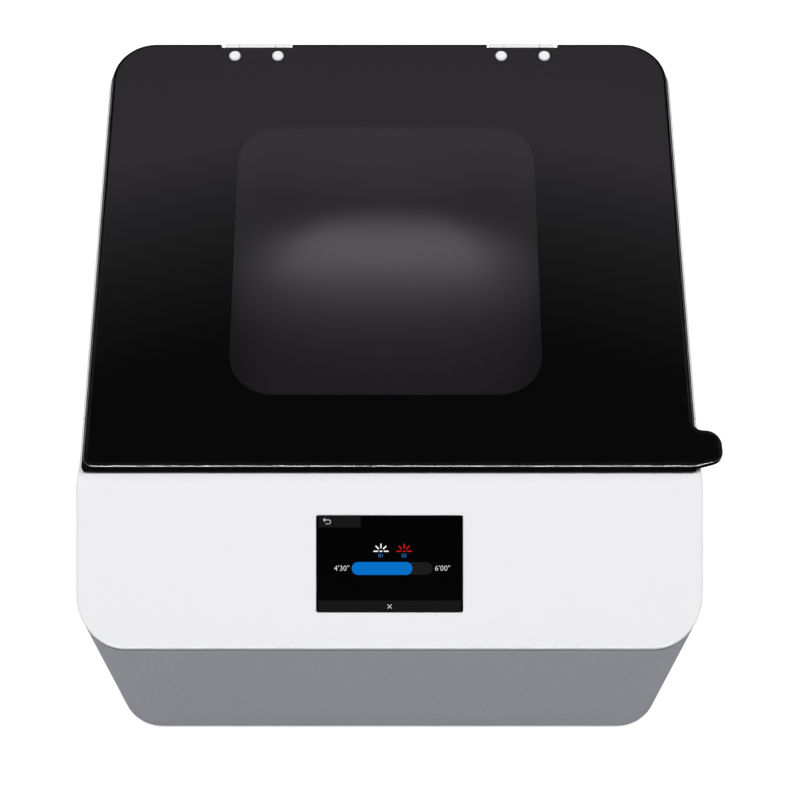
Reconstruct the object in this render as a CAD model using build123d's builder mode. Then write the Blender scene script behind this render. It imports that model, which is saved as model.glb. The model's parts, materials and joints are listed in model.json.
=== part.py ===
from build123d import *
from math import atan2, cos, pi, radians, sin, sqrt, tan
import os

os.makedirs("parts", exist_ok=True)

# Bench-top light curing unit, in millimetres. Z is up, the front faces -Y, and the
# origin is on the bench under the middle of the housing.

# ---------------------------------------------------------------- driving dimensions
# Housing and covers
body_w = 320.0  # housing width
body_d = 346.0  # housing depth
corner_r = 25.0  # plan radius of the four upright corners
wall = 3.0  # moulded wall of the grey housing
foot_h = 5.0  # rubber foot, which is also the housing's clearance from the bench
console_low_z = 166.7  # top of the console's front edge above the bench
console_slope = 24.5  # console slope in degrees
crest_run = 80.0  # from the front edge back to the crest's sharp corner
crest_r = 12.0  # rounding of the crest
crest_back = 35.0  # slope of the crest's back in degrees
crest_foot_r = 4.0  # hollow where the crest meets the rim
rim_drop = 5.658  # crest's sharp corner down to the flat rim round the chamber
cover_t = 3.0  # upright thickness of the white covers
cover_edge_r = 1.2  # outer edge rounding of the white covers
shadow_gap = 1.6  # dark joint between the covers and the housing
seam_run = 114.4  # from the front edge back to the joint of the two covers
seam_gap = 0.6
lip_h = 8.0  # locating lip under the covers
lip_t = 2.0
lip_fit = 0.3
tower_r = 5.0  # screw towers in the housing corners
tower_hole_r = 1.6
tower_in = 1.0  # how far a tower reaches into the wall
tower_end = 27.0  # end towers from the front and the rear face
boss_h = 12.0  # boss under a cover down to its tower
plate_t = 1.5  # steel base plate
plate_fit = 0.3
tongue_side = 36.0  # housing's side to the tongues under the console's rear edge
tongue_w = 50.0
tongue_d = 14.0
tongue_t = 2.5
small_r = 1.0  # corners of small fittings
edge_break = 0.5  # turned ends and small mouldings

# Lid
lid_in = 4.1  # housing's side to the flat of the tinted plate's side
lid_front = 81.9  # console's front edge to the lid's front face
lid_rear = 4.7  # tinted plate's rear edge to the housing's rear face
lid_clear = 5.9  # rim to the underside of the lid's frame
panel_t = 5.0  # tinted plate
panel_edge_r = 2.2  # polished edge of the tinted plate
panel_rear_r = 24.0
panel_front_r = 5.5
frame_t = 3.2  # black frame under the plate
frame_over = 1.1  # frame beyond the plate at the sides and the rear
frame_front_r = 1.5
tab_out = 13.8  # finger tab beyond the plate's side
tab_len = 20.4  # tab's rear edge behind the lid's front face
tab_rake = 15.5  # slant of the tab's front edge in degrees
tab_front_r = 6.0
tab_rear_r = 8.5
tab_root_r = 4.5
window_side = 6.2  # opening in the frame inside the chamber's sides
window_rear = 7.6  # and inside its rear wall
window_r = 23.0
window_front = 41.1  # lid's front face to the opening
seal_w = 5.0  # light seal under the frame
seal_groove = 1.5
seal_clear = 0.3  # seal above the rim
seal_r = 34.0
seal_out = 16.0  # seal outside the chamber's mouth

# Hinges
hinge_in = 80.6  # tinted plate's side to a hinge's middle
hinge_len = 36.6
hinge_notch_w = 40.2
hinge_notch_d = 3.1
hinge_back = 0.3  # axis behind the tinted plate's rear edge
knuckle_r = 3.6
pin_r = 1.5
pin_fit = 0.03
knuckle_gap = 0.3
centre_knuckle = 20.0
leaf_t = 2.0
leaf_len = 18.0  # leaf in front of the axis
leaf_clear = 1.2  # leaf clear of the fixed ears
leaf_pocket = 2.0  # pocket in the frame beyond the leaf
base_t = 2.5  # foot of the fixed half
base_front = 12.5  # foot in front of the axis
base_back = 1.9  # foot behind the axis
lid_screw_w = 24.3  # lid screws on one hinge
screw_back = 9.1  # lid screws in front of the plate's rear edge
screw_head_r = 3.15
screw_head_h = 1.3
screw_r = 1.5
screw_fit = 0.2
seat_screw_r = 1.75
seat_screw_len = 7.0
seat_head_r = 3.2
seat_screw_front = 8.0  # seat screws in front of the axis

# Curing chamber
chamber_front = 37.1  # lid's front face to the chamber, which is square in plan
chamber_rear = 46.3  # chamber to the tinted plate's rear edge
chamber_x = -2.0  # middle of the chamber, the turntable and the lid's window
chamber_r = 28.0
liner_t = 1.5
chamber_deep = 97.5  # rim to the liner's underside
liner_flange = 8.0
slot_in = 34.0  # chamber's sides to the ends of the light slots in its walls
slot_h = 24.0
slot_deep = 45.5  # rim to the middle of the light slots
pane_side = 1.5  # pane beyond its slot at the ends
pane_over = 3.0  # and above and below
pane_t = 2.0
sink_over = 6.0  # heat sinks beyond the slots at each end
sink_h = 44.0
sink_leg = 10.0
sink_leg_t = 4.0
sink_base_t = 4.0
fin_h = 15.0
fin_t = 1.8
fin_count = 11
board_h = 30.0
board_t = 1.6
board_side_fit = 0.4
led_columns = 6
led_rows = 2
led_end = 6.0  # slot's end to the row of light sources
led_row_h = 12.0
led_size = 5.0
led_base_h = 1.2
led_lens = 3.6
led_lens_h = 1.4
led_lens_taper = 25.0

# Turntable and its drive
tray_side = 4.0  # chamber's wall to the tray
tray_t = 2.5
tray_lip_h = 2.5
tray_lip_t = 2.0
tray_edge = 0.6
tray_gap = 6.5  # liner floor's top to the tray's underside
hub_flange_r = 22.0
hub_flange_t = 3.0
hub_boss_r = 8.5
hub_cap_t = 1.2  # hub's skin over the end of its shaft
shaft_r = 4.0
shaft_fit = 0.03
shaft_tail = 3.0
thrust_gap = 0.3
bush_r = 7.0
bush_flange_r = 10.0
bush_flange_t = 1.5
bush_len = 6.0
gear_module = 1.25
gear_teeth = 48
pinion_teeth = 16
gear_backlash = 0.2
pressure_angle = 20.0
gear_t = 6.0
gear_hub_r = 9.0
gear_hub_h = 2.2
gear_window_r = 7.0
gear_windows = 5
pinion_over = 0.5  # pinion wider than the gear at each face
drive_drop = 20.0  # drive plate's top below the liner floor
drive_plate_t = 2.0
drive_plate_w = 100.0
drive_plate_in = 8.0  # chamber's front wall to the plate's front edge
drive_plate_back = 40.0  # plate behind the turntable shaft
drive_plate_r = 8.0
post_r = 4.0
post_x = 42.0
post_inset = 8.0  # posts from the plate's front and rear edges
motor_r = 18.5
motor_len = 38.0
motor_offset = 7.0  # motor's middle in front of its output shaft
motor_boss_r = 6.0
motor_boss_fit = 0.3
motor_shaft_r = 3.0
motor_shaft_depth = 18.0
motor_shaft_end = 1.0  # shaft beyond the pinion
motor_chamfer = 1.5

# Display
display_w = 75.0
display_h = 49.6
display_low = 18.0  # opening's lower edge, up the slope from the front edge
display_gap = 0.25
display_r = 1.0
display_ease = 0.3  # eased edge of the console round the display
module_t = 5.0
module_over_w = 3.0
module_over_h = 4.0
module_chamfer = 1.5
bracket_t = 1.5
bracket_h = 30.0
bracket_leg = 5.0
bracket_gap = 1.0
bracket_cut_w = 44.0
bracket_cut_h = 10.0

# Rear wall and electrics
fan_size = 80.0
fan_t = 25.0
fan_side = 80.0  # housing's left side to the fan's middle
fan_z = 60.0
fan_bore_r = 38.0
fan_hole_w = 71.5
fan_hole_r = 2.2
fan_corner_r = 4.0
fan_hub_r = 16.0
fan_blades = 7
fan_tip_gap = 1.2
fan_blade_t = 1.8
fan_blade_chord = 19.0
fan_blade_turn = 38.0
fan_axle_r = 2.0
fan_axle_fit = 0.05
fan_strut_t = 3.0
fan_strut_w = 5.0
fan_strut_in = 0.5  # how far a strut reaches into the fan's frame
fan_gap = 1.5
fan_root_in = 2.0  # how far a blade reaches into the rotor's hub
guard_t = 1.6
guard_rim = 4.0
guard_ring_w = 2.0
guard_rings = 3
guard_lug_r = 5.0
guard_spoke_w = 3.0
fan_screw_r = 2.0
fan_screw_head_r = 3.6
fan_screw_head_h = 1.4
inlet_side = 62.0  # housing's right side to the inlet's middle
inlet_z = 45.0
inlet_w = 27.4
inlet_h = 20.0
inlet_flange_w = 50.0
inlet_flange_h = 25.0
inlet_flange_t = 2.0
inlet_flange_r = 4.0
inlet_screw_w = 40.0
inlet_screw_r = 1.6
inlet_screw_head_r = 3.0
inlet_screw_head_h = 1.2
inlet_screw_len = 8.0
inlet_depth = 24.0
inlet_socket_w = 24.6
inlet_socket_h = 17.0
inlet_socket_depth = 17.0
inlet_corner = 5.0
blade_w = 2.0
blade_h = 4.0
blade_len = 14.0
blade_step = 7.0
blade_rise = 2.0
switch_side = 108.0  # housing's right side to the switch's middle
switch_w = 15.0
switch_h = 21.4
switch_flange_t = 1.8
switch_body_w = 13.0
switch_body_h = 19.0
switch_depth = 15.0
switch_wall = 1.2
switch_fit = 0.3
rocker_r = 8.2
rocker_pivot = 1.4  # pivot inside the housing's rear face
rocker_dish = 2.2
rocker_tip = 4.2
rocker_under = 4.0
rocker_tilt = 9.0  # off position, tilted from the middle in degrees
rocker_pin_r = 1.0
rocker_pin_fit = 0.04
cut_fit = 0.2  # clearance of a fitting in its wall cut-out
board_w = 112.0  # control board
board_d = 96.0
board_side = 78.0  # housing's right side to the board's middle
board_front = 107.0  # front face to the board's middle
board_standoff = 8.0
standoff_r = 3.5
standoff_in = 6.0  # standoffs from the control board's edges
# Modules on the control board: x, y, width and depth as shares of the board, and height
board_modules = ((-0.27, 0.21, 0.27, 0.25, 9.0), (0.2, 0.27, 0.2, 0.23, 14.0),
                 (0.0, -0.35, 0.54, 0.08, 9.0))
capacitor_r = 5.0
capacitor_h = 16.0
capacitor_step = 14.0
supply_w = 98.0
supply_d = 158.0
supply_h = 32.0
supply_side = 78.0  # housing's left side to the power supply's middle
supply_front = 135.0  # front face to the power supply's middle
supply_slot_w = 60.0
supply_slot_h = 3.0
supply_slot_deep = 1.5
supply_slot_row_h = 9.0
supply_slots = 9
supply_chamfer = 2.0
vent_w = 46.0  # intake slots in the base plate
vent_h = 4.0
vent_row_h = 8.0
vent_count = 7
vent_side = 82.0  # housing's sides to the middle of the intake slots
vent_rear = 69.0  # rear face to the middle of the intake slots
foot_r = 11.0
foot_in = 38.0  # foot centres from the housing's sides
foot_hole_r = 3.0
foot_hole_h = 3.0
foot_chamfer = 1.0
plate_screw_head_r = 3.0
plate_screw_head_h = 1.2
plate_screw_len = 14.0

# Lid interlock
magnet_r = 4.0
magnet_t = 2.4
magnet_fit = 0.05
sensor_side = 32.0  # housing's right side to the lid sensor's middle
sensor_back = 12.0  # sensor in front of the cover joint
sensor_w = 16.0
sensor_d = 7.0
sensor_h = 5.0

# ---------------------------------------------------------------- worked-out places
front_y = -body_d / 2
rear_y = body_d / 2
side_x = body_w / 2
beyond = 6.0
slope_rise = tan(radians(console_slope))
crest_y = front_y + crest_run
crest_z = console_low_z + crest_run * slope_rise
rim_z = crest_z - rim_drop
crest_foot_y = crest_y + (crest_z - rim_z) / tan(radians(crest_back))
seam_y = front_y + seam_run
tall = crest_z + 2 * beyond

plate_z = foot_h + plate_t
plate_w = body_w - 2 * (wall + plate_fit)
plate_d = body_d - 2 * (wall + plate_fit)
rim_under_z = rim_z - cover_t
tower_x = body_w / 2 - wall - tower_r + tower_in
tower_ys = (front_y + tower_end, seam_y + tower_end, rear_y - tower_end)
tower_points = [(side * tower_x, y) for y in tower_ys for side in (-1, 1)]

lid_w = body_w - 2 * lid_in
lid_d = body_d - lid_front - lid_rear
lid_y0 = front_y + lid_front
lid_y1 = lid_y0 + lid_d
chamber_w = lid_d - chamber_front - chamber_rear
chamber_y = lid_y0 + chamber_front + chamber_w / 2
frame_z = rim_z + lid_clear
panel_z = frame_z + frame_t
lid_top_z = panel_z + panel_t
frame_w = lid_w + 2 * frame_over
window_w = chamber_w - 2 * window_side
window_y1 = chamber_y + chamber_w / 2 - window_rear
window_d = window_y1 - lid_y0 - window_front
window_y = window_y1 - window_d / 2
seal_z = rim_z + seal_clear
seal_span = chamber_w + 2 * seal_out

axis_y = lid_y1 + hinge_back
leaf_z = panel_z - leaf_t
axis_z = leaf_z
ear_len = (hinge_len - centre_knuckle) / 2 - knuckle_gap
lid_screw_y = lid_y1 - screw_back
hinge_x = lid_w / 2 - hinge_in
hinge_xs = {"left": -hinge_x, "right": hinge_x}
seat_points = [
    (x + side * (hinge_len - ear_len) / 2, axis_y - seat_screw_front)
    for x in hinge_xs.values() for side in (-1, 1)
]

liner_w = chamber_w + 2 * liner_t
liner_floor_z = rim_z - chamber_deep
slot_z = rim_z - slot_deep
liner_out_r = chamber_r + liner_t
slot_w = chamber_w - 2 * slot_in
sink_w = slot_w + 2 * sink_over
led_step = (slot_w - 2 * led_end) / led_columns
tray_r = chamber_w / 2 - tray_side
floor_top_z = liner_floor_z + liner_t
tray_z = floor_top_z + tray_gap
upper_bush_top = floor_top_z + bush_flange_t
drive_top_z = liner_floor_z - drive_drop
drive_z = drive_top_z - drive_plate_t
lower_bush_top = drive_top_z + bush_flange_t
gear_z = lower_bush_top + thrust_gap + gear_hub_h
pinion_y = chamber_y - gear_module * (gear_teeth + pinion_teeth) / 2
drive_y0 = chamber_y - chamber_w / 2 + drive_plate_in
drive_y1 = chamber_y + drive_plate_back
post_points = [(chamber_x + side * post_x, y) for y in (drive_y0 + post_inset, drive_y1 - post_inset)
               for side in (-1, 1)]

fan_x = fan_side - side_x
inlet_x = side_x - inlet_side
switch_x = side_x - switch_side
board_x = side_x - board_side
board_y = front_y + board_front
supply_x = supply_side - side_x
supply_y = front_y + supply_front
sensor_x = side_x - sensor_side
tongue_x = side_x - tongue_side
vent_x = side_x - vent_side
vent_y = rear_y - vent_rear

glass_t = cover_t * cos(radians(console_slope))
display_up = display_low + display_h / 2
console_plane = Plane(
    origin=(0, front_y + display_up * cos(radians(console_slope)),
            console_low_z + display_up * sin(radians(console_slope))),
    x_dir=(1, 0, 0),
    z_dir=(0, -sin(radians(console_slope)), cos(radians(console_slope))),
)


def rear_plane(x, z, depth=0.0):
    """Plane on the housing's rear face, or that far inside it, looking out of the unit."""
    return Plane(origin=(x, rear_y - depth, z), x_dir=(-1, 0, 0), z_dir=(0, 1, 0))


# ---------------------------------------------------------------- shared forms
def skin_points(drop):
    """Side view of the covers' top surface, moved down by drop, from front to rear."""
    return [
        (front_y - beyond, console_low_z - beyond * slope_rise - drop),
        (crest_y, crest_z - drop),
        (crest_foot_y, rim_z - drop),
        (rear_y + beyond, rim_z - drop),
    ]


def skin_layer(drop, depth):
    """Full-width layer that follows the covers' side view, from drop down by depth."""
    upper = skin_points(drop)
    lower = skin_points(drop + depth)
    with BuildPart() as layer:
        with BuildSketch(Plane.YZ):
            with BuildLine():
                FilletPolyline(*upper, radius=(max(crest_r - drop, 1.0), crest_foot_r + drop))
                Line(upper[-1], lower[-1])
                FilletPolyline(
                    *lower[::-1],
                    radius=(crest_foot_r + drop + depth, max(crest_r - drop - depth, 1.0)),
                )
                Line(lower[0], upper[0])
            make_face()
        extrude(amount=body_w / 2 + beyond, both=True)
    return layer.part


def below_skin(drop):
    """Everything from the base plate's underside up to the covers' side view less drop."""
    upper = skin_points(drop)
    with BuildPart() as block:
        with BuildSketch(Plane.YZ):
            with BuildLine():
                FilletPolyline(*upper, radius=(max(crest_r - drop, 1.0), crest_foot_r + drop))
                Polyline(upper[-1], (upper[-1][0], foot_h), (upper[0][0], foot_h), upper[0])
            make_face()
        extrude(amount=body_w / 2 + beyond, both=True)
    return block.part


def gear_outline(teeth):
    """Closed outline of an involute spur gear with one tooth centred on local +X."""
    pitch_r = gear_module * teeth / 2
    base_r = pitch_r * cos(radians(pressure_angle))
    tip_r = pitch_r + gear_module
    root_r = pitch_r - 1.25 * gear_module
    start_r = max(base_r, root_r)

    def involute(radius):
        roll = sqrt(max((radius / base_r) ** 2 - 1, 0))
        return roll - atan2(roll, 1)

    half_tooth = pi / (2 * teeth) - gear_backlash / (2 * pitch_r)

    def flank_point(radius, tooth_angle, side):
        turn = half_tooth + involute(pitch_r) - involute(radius)
        angle = tooth_angle + side * turn
        return (radius * cos(angle), radius * sin(angle))

    mid_r = (start_r + tip_r) / 2
    for tooth in range(teeth):
        middle = 2 * pi * tooth / teeth
        following = 2 * pi * (tooth + 1) / teeth
        low = flank_point(start_r, middle, -1)
        high = flank_point(start_r, middle, 1)
        next_low = flank_point(start_r, following, -1)
        rising = [flank_point(radius, middle, -1) for radius in (mid_r, tip_r)]
        falling = [flank_point(radius, middle, 1) for radius in (tip_r, mid_r)]
        Polyline(low, *rising, *falling, high)
        gap_start = atan2(high[1], high[0])
        gap_end = atan2(next_low[1], next_low[0])
        if gap_end < gap_start:
            gap_end += 2 * pi
        root_a = (root_r * cos(gap_start), root_r * sin(gap_start))
        root_b = (root_r * cos(gap_end), root_r * sin(gap_end))
        if start_r > root_r:
            Polyline(high, root_a, root_b, next_low)
        else:
            Line(high, next_low)


def save(part, name):
    """Label a finished piece and write it under its own name."""
    part.label = name
    export_step(part, f"parts/{name}.step")


# ---------------------------------------------------------------- grey housing
with BuildPart() as tower_set:
    with BuildSketch(Plane.XY.offset(plate_z)):
        with Locations(*tower_points):
            Circle(tower_r)
            Circle(tower_hole_r, mode=Mode.SUBTRACT)
    extrude(amount=tall)
    add(below_skin(cover_t + boss_h), mode=Mode.INTERSECT)

with BuildPart() as base_housing:
    with BuildSketch(Plane.XY.offset(foot_h)):
        RectangleRounded(body_w, body_d, corner_r)
        RectangleRounded(body_w - 2 * wall, body_d - 2 * wall, corner_r - wall, mode=Mode.SUBTRACT)
    extrude(amount=tall)
    add(below_skin(cover_t + shadow_gap), mode=Mode.INTERSECT)
    add(tower_set.part)
    with BuildSketch(rear_plane(fan_x, fan_z)):
        Circle(fan_bore_r)
        with GridLocations(fan_hole_w, fan_hole_w, 2, 2):
            Circle(fan_hole_r)
    extrude(amount=-wall, mode=Mode.SUBTRACT)
    with BuildSketch(rear_plane(inlet_x, inlet_z)):
        RectangleRounded(inlet_w + 2 * cut_fit, inlet_h + 2 * cut_fit, small_r)
        with GridLocations(inlet_screw_w, 1, 2, 1):
            Circle(inlet_screw_r)
    extrude(amount=-wall, mode=Mode.SUBTRACT)
    with BuildSketch(rear_plane(switch_x, inlet_z)):
        Rectangle(switch_body_w + 2 * cut_fit, switch_body_h + 2 * cut_fit)
    extrude(amount=-wall, mode=Mode.SUBTRACT)
save(base_housing.part, "base_housing")

# ---------------------------------------------------------------- base plate, feet, screws
board_points = [
    (board_x + sx * (board_w / 2 - standoff_in), board_y + sy * (board_d / 2 - standoff_in))
    for sx in (-1, 1) for sy in (-1, 1)
]
foot_x = body_w / 2 - foot_in
foot_y = body_d / 2 - foot_in
foot_points = {
    "front_left": (-foot_x, -foot_y),
    "front_right": (foot_x, -foot_y),
    "rear_left": (-foot_x, foot_y),
    "rear_right": (foot_x, foot_y),
}

with BuildPart() as base_plate:
    with BuildSketch(Plane.XY.offset(foot_h)):
        RectangleRounded(plate_w, plate_d, corner_r - wall - plate_fit)
        with Locations((-vent_x, vent_y), (vent_x, vent_y)):
            with GridLocations(1, vent_row_h, 1, vent_count):
                Rectangle(vent_w, vent_h, mode=Mode.SUBTRACT)
    extrude(amount=plate_t)
    with BuildSketch(Plane.XY.offset(plate_z)):
        with Locations(*board_points):
            Circle(standoff_r)
    extrude(amount=board_standoff)
    with Locations(*[(x, y, foot_h) for x, y in tower_points]):
        Hole(tower_hole_r, plate_t * 2)
save(base_plate.part, "base_plate")

for place, (x, y) in foot_points.items():
    with BuildPart() as foot:
        with BuildSketch():
            with Locations((x, y)):
                Circle(foot_r)
        extrude(amount=foot_h)
        chamfer(foot.faces().sort_by(Axis.Z)[0].edges(), foot_chamfer)
        with BuildSketch():
            with Locations((x, y)):
                Circle(foot_hole_r)
        extrude(amount=foot_hole_h, mode=Mode.SUBTRACT)
    save(foot.part, f"foot_{place}")

with BuildPart() as base_screws:
    with BuildSketch(Plane.XY.offset(foot_h - plate_screw_head_h)):
        with Locations(*tower_points):
            Circle(plate_screw_head_r)
    extrude(amount=plate_screw_head_h)
    with BuildSketch(Plane.XY.offset(foot_h)):
        with Locations(*tower_points):
            Circle(tower_hole_r)
    extrude(amount=plate_screw_len)
save(base_screws.part, "base_screws")

# ---------------------------------------------------------------- white covers
with BuildPart() as cover_skin:
    with BuildSketch():
        RectangleRounded(body_w, body_d, corner_r)
    extrude(amount=tall)
    add(skin_layer(0, cover_t), mode=Mode.INTERSECT)
    top_faces = cover_skin.faces().filter_by(lambda face: face.normal_at().Z > 0.3)
    side_faces = cover_skin.faces().filter_by(lambda face: abs(face.normal_at().Z) < 0.05)
    outer_edges = [
        edge for edge in top_faces.edges()
        if any(edge.is_same(other) for other in side_faces.edges())
    ]
    fillet(outer_edges, cover_edge_r)

lip_w = body_w - 2 * (wall + lip_fit)
lip_d = body_d - 2 * (wall + lip_fit)
lip_corner = corner_r - wall - lip_fit
with BuildPart() as cover_lip:
    with BuildSketch():
        RectangleRounded(lip_w, lip_d, lip_corner)
        RectangleRounded(lip_w - 2 * lip_t, lip_d - 2 * lip_t, lip_corner - lip_t, mode=Mode.SUBTRACT)
    extrude(amount=tall)
    add(skin_layer(cover_t / 2, cover_t / 2 + lip_h), mode=Mode.INTERSECT)

with BuildPart() as cover_bosses:
    with BuildSketch():
        with Locations(*tower_points):
            Circle(tower_r - tower_in - lip_fit)
    extrude(amount=tall)
    add(skin_layer(cover_t / 2, cover_t / 2 + boss_h), mode=Mode.INTERSECT)

with BuildPart() as front_console:
    add(cover_skin.part)
    add(cover_lip.part)
    add(cover_bosses.part)
    with BuildSketch():
        with Locations((0, (front_y - beyond + seam_y - seam_gap / 2) / 2)):
            Rectangle(body_w + 2 * beyond, seam_run + beyond - seam_gap / 2)
    extrude(amount=tall, mode=Mode.INTERSECT)
    with BuildSketch(console_plane):
        RectangleRounded(display_w, display_h, display_r)
    extrude(amount=2 * cover_t, both=True, mode=Mode.SUBTRACT)
    with BuildSketch(console_plane):
        RectangleRounded(display_w + 2 * display_ease, display_h + 2 * display_ease,
                         display_r + display_ease)
    extrude(amount=-display_ease, taper=45, mode=Mode.SUBTRACT)
save(front_console.part, "front_console")

with BuildPart() as top_cover:
    add(cover_skin.part)
    add(cover_lip.part)
    add(cover_bosses.part)
    with BuildSketch():
        with Locations((0, (rear_y + beyond + seam_y + seam_gap / 2) / 2)):
            Rectangle(body_w + 2 * beyond, body_d - seam_run + beyond - seam_gap / 2)
    extrude(amount=tall, mode=Mode.INTERSECT)
    with BuildSketch():
        with Locations((chamber_x, chamber_y)):
            RectangleRounded(chamber_w, chamber_w, chamber_r)
    extrude(amount=tall, mode=Mode.SUBTRACT)
    with BuildSketch(Plane.XY.offset(rim_under_z - tongue_t)):
        with Locations((-tongue_x, seam_y), (tongue_x, seam_y)):
            Rectangle(tongue_w, tongue_d)
    extrude(amount=tongue_t)
    with Locations(*[(x, y, rim_z) for x, y in seat_points]):
        Hole(seat_screw_r, 2 * cover_t)
save(top_cover.part, "top_cover")

# ---------------------------------------------------------------- display
with BuildPart() as display_glass:
    with BuildSketch(console_plane.offset(-glass_t)):
        RectangleRounded(display_w - 2 * display_gap, display_h - 2 * display_gap, display_r)
    extrude(amount=glass_t)
save(display_glass.part, "display_glass")

module_w = display_w + 2 * module_over_w
module_h = display_h + 2 * module_over_h
with BuildPart() as display_module:
    with BuildSketch(console_plane.offset(-glass_t - module_t)):
        Rectangle(module_w, module_h)
    extrude(amount=module_t)
    chamfer(display_module.edges().filter_by(Axis(console_plane.origin, console_plane.z_dir)),
            module_chamfer)
save(display_module.part, "display_module")

bracket_w = module_w + 2 * (bracket_gap + bracket_leg)
with BuildPart() as display_bracket:
    with BuildSketch(console_plane.offset(-glass_t - module_t - bracket_t)):
        Rectangle(bracket_w, bracket_h)
        Rectangle(bracket_cut_w, bracket_cut_h, mode=Mode.SUBTRACT)
    extrude(amount=bracket_t)
    with BuildSketch(console_plane.offset(-glass_t - module_t)):
        with Locations((-(bracket_w - bracket_leg) / 2, 0), ((bracket_w - bracket_leg) / 2, 0)):
            Rectangle(bracket_leg, bracket_h)
    extrude(amount=module_t)
save(display_bracket.part, "display_bracket")

# ---------------------------------------------------------------- curing chamber
sides = {"right": (1, 0), "left": (-1, 0), "front": (0, -1), "rear": (0, 1)}


def side_plane(direction, out=0.0):
    """Plane on the liner's outer face on one side, or that far outside it, looking out."""
    nx, ny = direction
    reach = liner_w / 2 + out
    return Plane(
        origin=(chamber_x + nx * reach, chamber_y + ny * reach, slot_z),
        x_dir=(-ny, nx, 0),
        z_dir=(nx, ny, 0),
    )


with BuildPart() as chamber_liner:
    with BuildSketch(Plane.XY.offset(liner_floor_z)):
        with Locations((chamber_x, chamber_y)):
            RectangleRounded(liner_w, liner_w, liner_out_r)
    extrude(amount=rim_under_z - liner_floor_z)
    with BuildSketch(Plane.XY.offset(rim_under_z - liner_t)):
        with Locations((chamber_x, chamber_y)):
            RectangleRounded(liner_w + 2 * liner_flange, liner_w + 2 * liner_flange,
                             liner_out_r + liner_flange)
    extrude(amount=liner_t)
    with BuildSketch(Plane.XY.offset(floor_top_z)):
        with Locations((chamber_x, chamber_y)):
            RectangleRounded(chamber_w, chamber_w, chamber_r)
    extrude(amount=rim_under_z - floor_top_z, mode=Mode.SUBTRACT)
    with BuildSketch(Plane.XY.offset(liner_floor_z)):
        with Locations((chamber_x, chamber_y)):
            Circle(bush_r)
    extrude(amount=liner_t, mode=Mode.SUBTRACT)
    for direction in sides.values():
        with BuildSketch(side_plane(direction)):
            Rectangle(slot_w, slot_h)
        extrude(amount=-liner_t, mode=Mode.SUBTRACT)
save(chamber_liner.part, "chamber_liner")

fin_step = (sink_w - fin_t) / (fin_count - 1)
light_board_w = sink_w - 2 * (sink_leg_t + board_side_fit)
light_board_z = sink_leg - board_t
led_z = light_board_z - led_base_h
with BuildPart() as light_panes:
    for direction in sides.values():
        with BuildSketch(side_plane(direction)):
            Rectangle(slot_w + 2 * pane_side, slot_h + 2 * pane_over)
        extrude(amount=pane_t)
save(light_panes.part, "light_panes")

for side, direction in sides.items():
    with BuildPart() as heat_sink:
        with BuildSketch(side_plane(direction)):
            with GridLocations(sink_w - sink_leg_t, 1, 2, 1):
                Rectangle(sink_leg_t, sink_h)
        extrude(amount=sink_leg)
        with BuildSketch(side_plane(direction, sink_leg)):
            Rectangle(sink_w, sink_h)
        extrude(amount=sink_base_t)
        with BuildSketch(side_plane(direction, sink_leg + sink_base_t)):
            with GridLocations(fin_step, 1, fin_count, 1):
                Rectangle(fin_t, sink_h)
        extrude(amount=fin_h)
    save(heat_sink.part, f"heat_sink_{side}")

    with BuildPart() as led_board:
        with BuildSketch(side_plane(direction, light_board_z)):
            Rectangle(light_board_w, board_h)
        extrude(amount=board_t)
    save(led_board.part, f"led_board_{side}")

    with BuildPart() as led_array:
        with BuildSketch(side_plane(direction, led_z)):
            with GridLocations(led_step, led_row_h, led_columns, led_rows):
                Rectangle(led_size, led_size)
        extrude(amount=led_base_h)
        with BuildSketch(side_plane(direction, led_z)):
            with GridLocations(led_step, led_row_h, led_columns, led_rows):
                Rectangle(led_lens, led_lens)
        extrude(amount=-led_lens_h, taper=led_lens_taper)
    save(led_array.part, f"led_array_{side}")

# ---------------------------------------------------------------- turntable
with BuildPart() as turntable_tray:
    with BuildSketch(Plane.XY.offset(tray_z)):
        with Locations((chamber_x, chamber_y)):
            Circle(tray_r)
    extrude(amount=tray_t + tray_lip_h)
    with BuildSketch(Plane.XY.offset(tray_z + tray_t)):
        with Locations((chamber_x, chamber_y)):
            Circle(tray_r - tray_lip_t)
    extrude(amount=tray_lip_h, mode=Mode.SUBTRACT)
    chamfer(turntable_tray.edges().group_by(Axis.Z)[-1], tray_edge)
save(turntable_tray.part, "turntable_tray")

hub_z = upper_bush_top + thrust_gap
shaft_top_z = tray_z - hub_cap_t
with BuildPart() as turntable_hub:
    with BuildSketch(Plane.XY.offset(hub_z)):
        with Locations((chamber_x, chamber_y)):
            Circle(hub_boss_r)
    extrude(amount=tray_z - hub_z)
    with BuildSketch(Plane.XY.offset(tray_z - hub_flange_t)):
        with Locations((chamber_x, chamber_y)):
            Circle(hub_flange_r)
    extrude(amount=hub_flange_t)
    with BuildSketch(Plane.XY.offset(hub_z)):
        with Locations((chamber_x, chamber_y)):
            Circle(shaft_r)
    extrude(amount=shaft_top_z - hub_z, mode=Mode.SUBTRACT)
save(turntable_hub.part, "turntable_hub")

shaft_z = drive_top_z - bush_len - shaft_tail
with BuildPart() as turntable_shaft:
    with BuildSketch(Plane.XY.offset(shaft_z)):
        with Locations((chamber_x, chamber_y)):
            Circle(shaft_r)
    extrude(amount=shaft_top_z - shaft_z)
    chamfer(turntable_shaft.faces().sort_by(Axis.Z)[0].edges(), edge_break)
save(turntable_shaft.part, "turntable_shaft")

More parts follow.
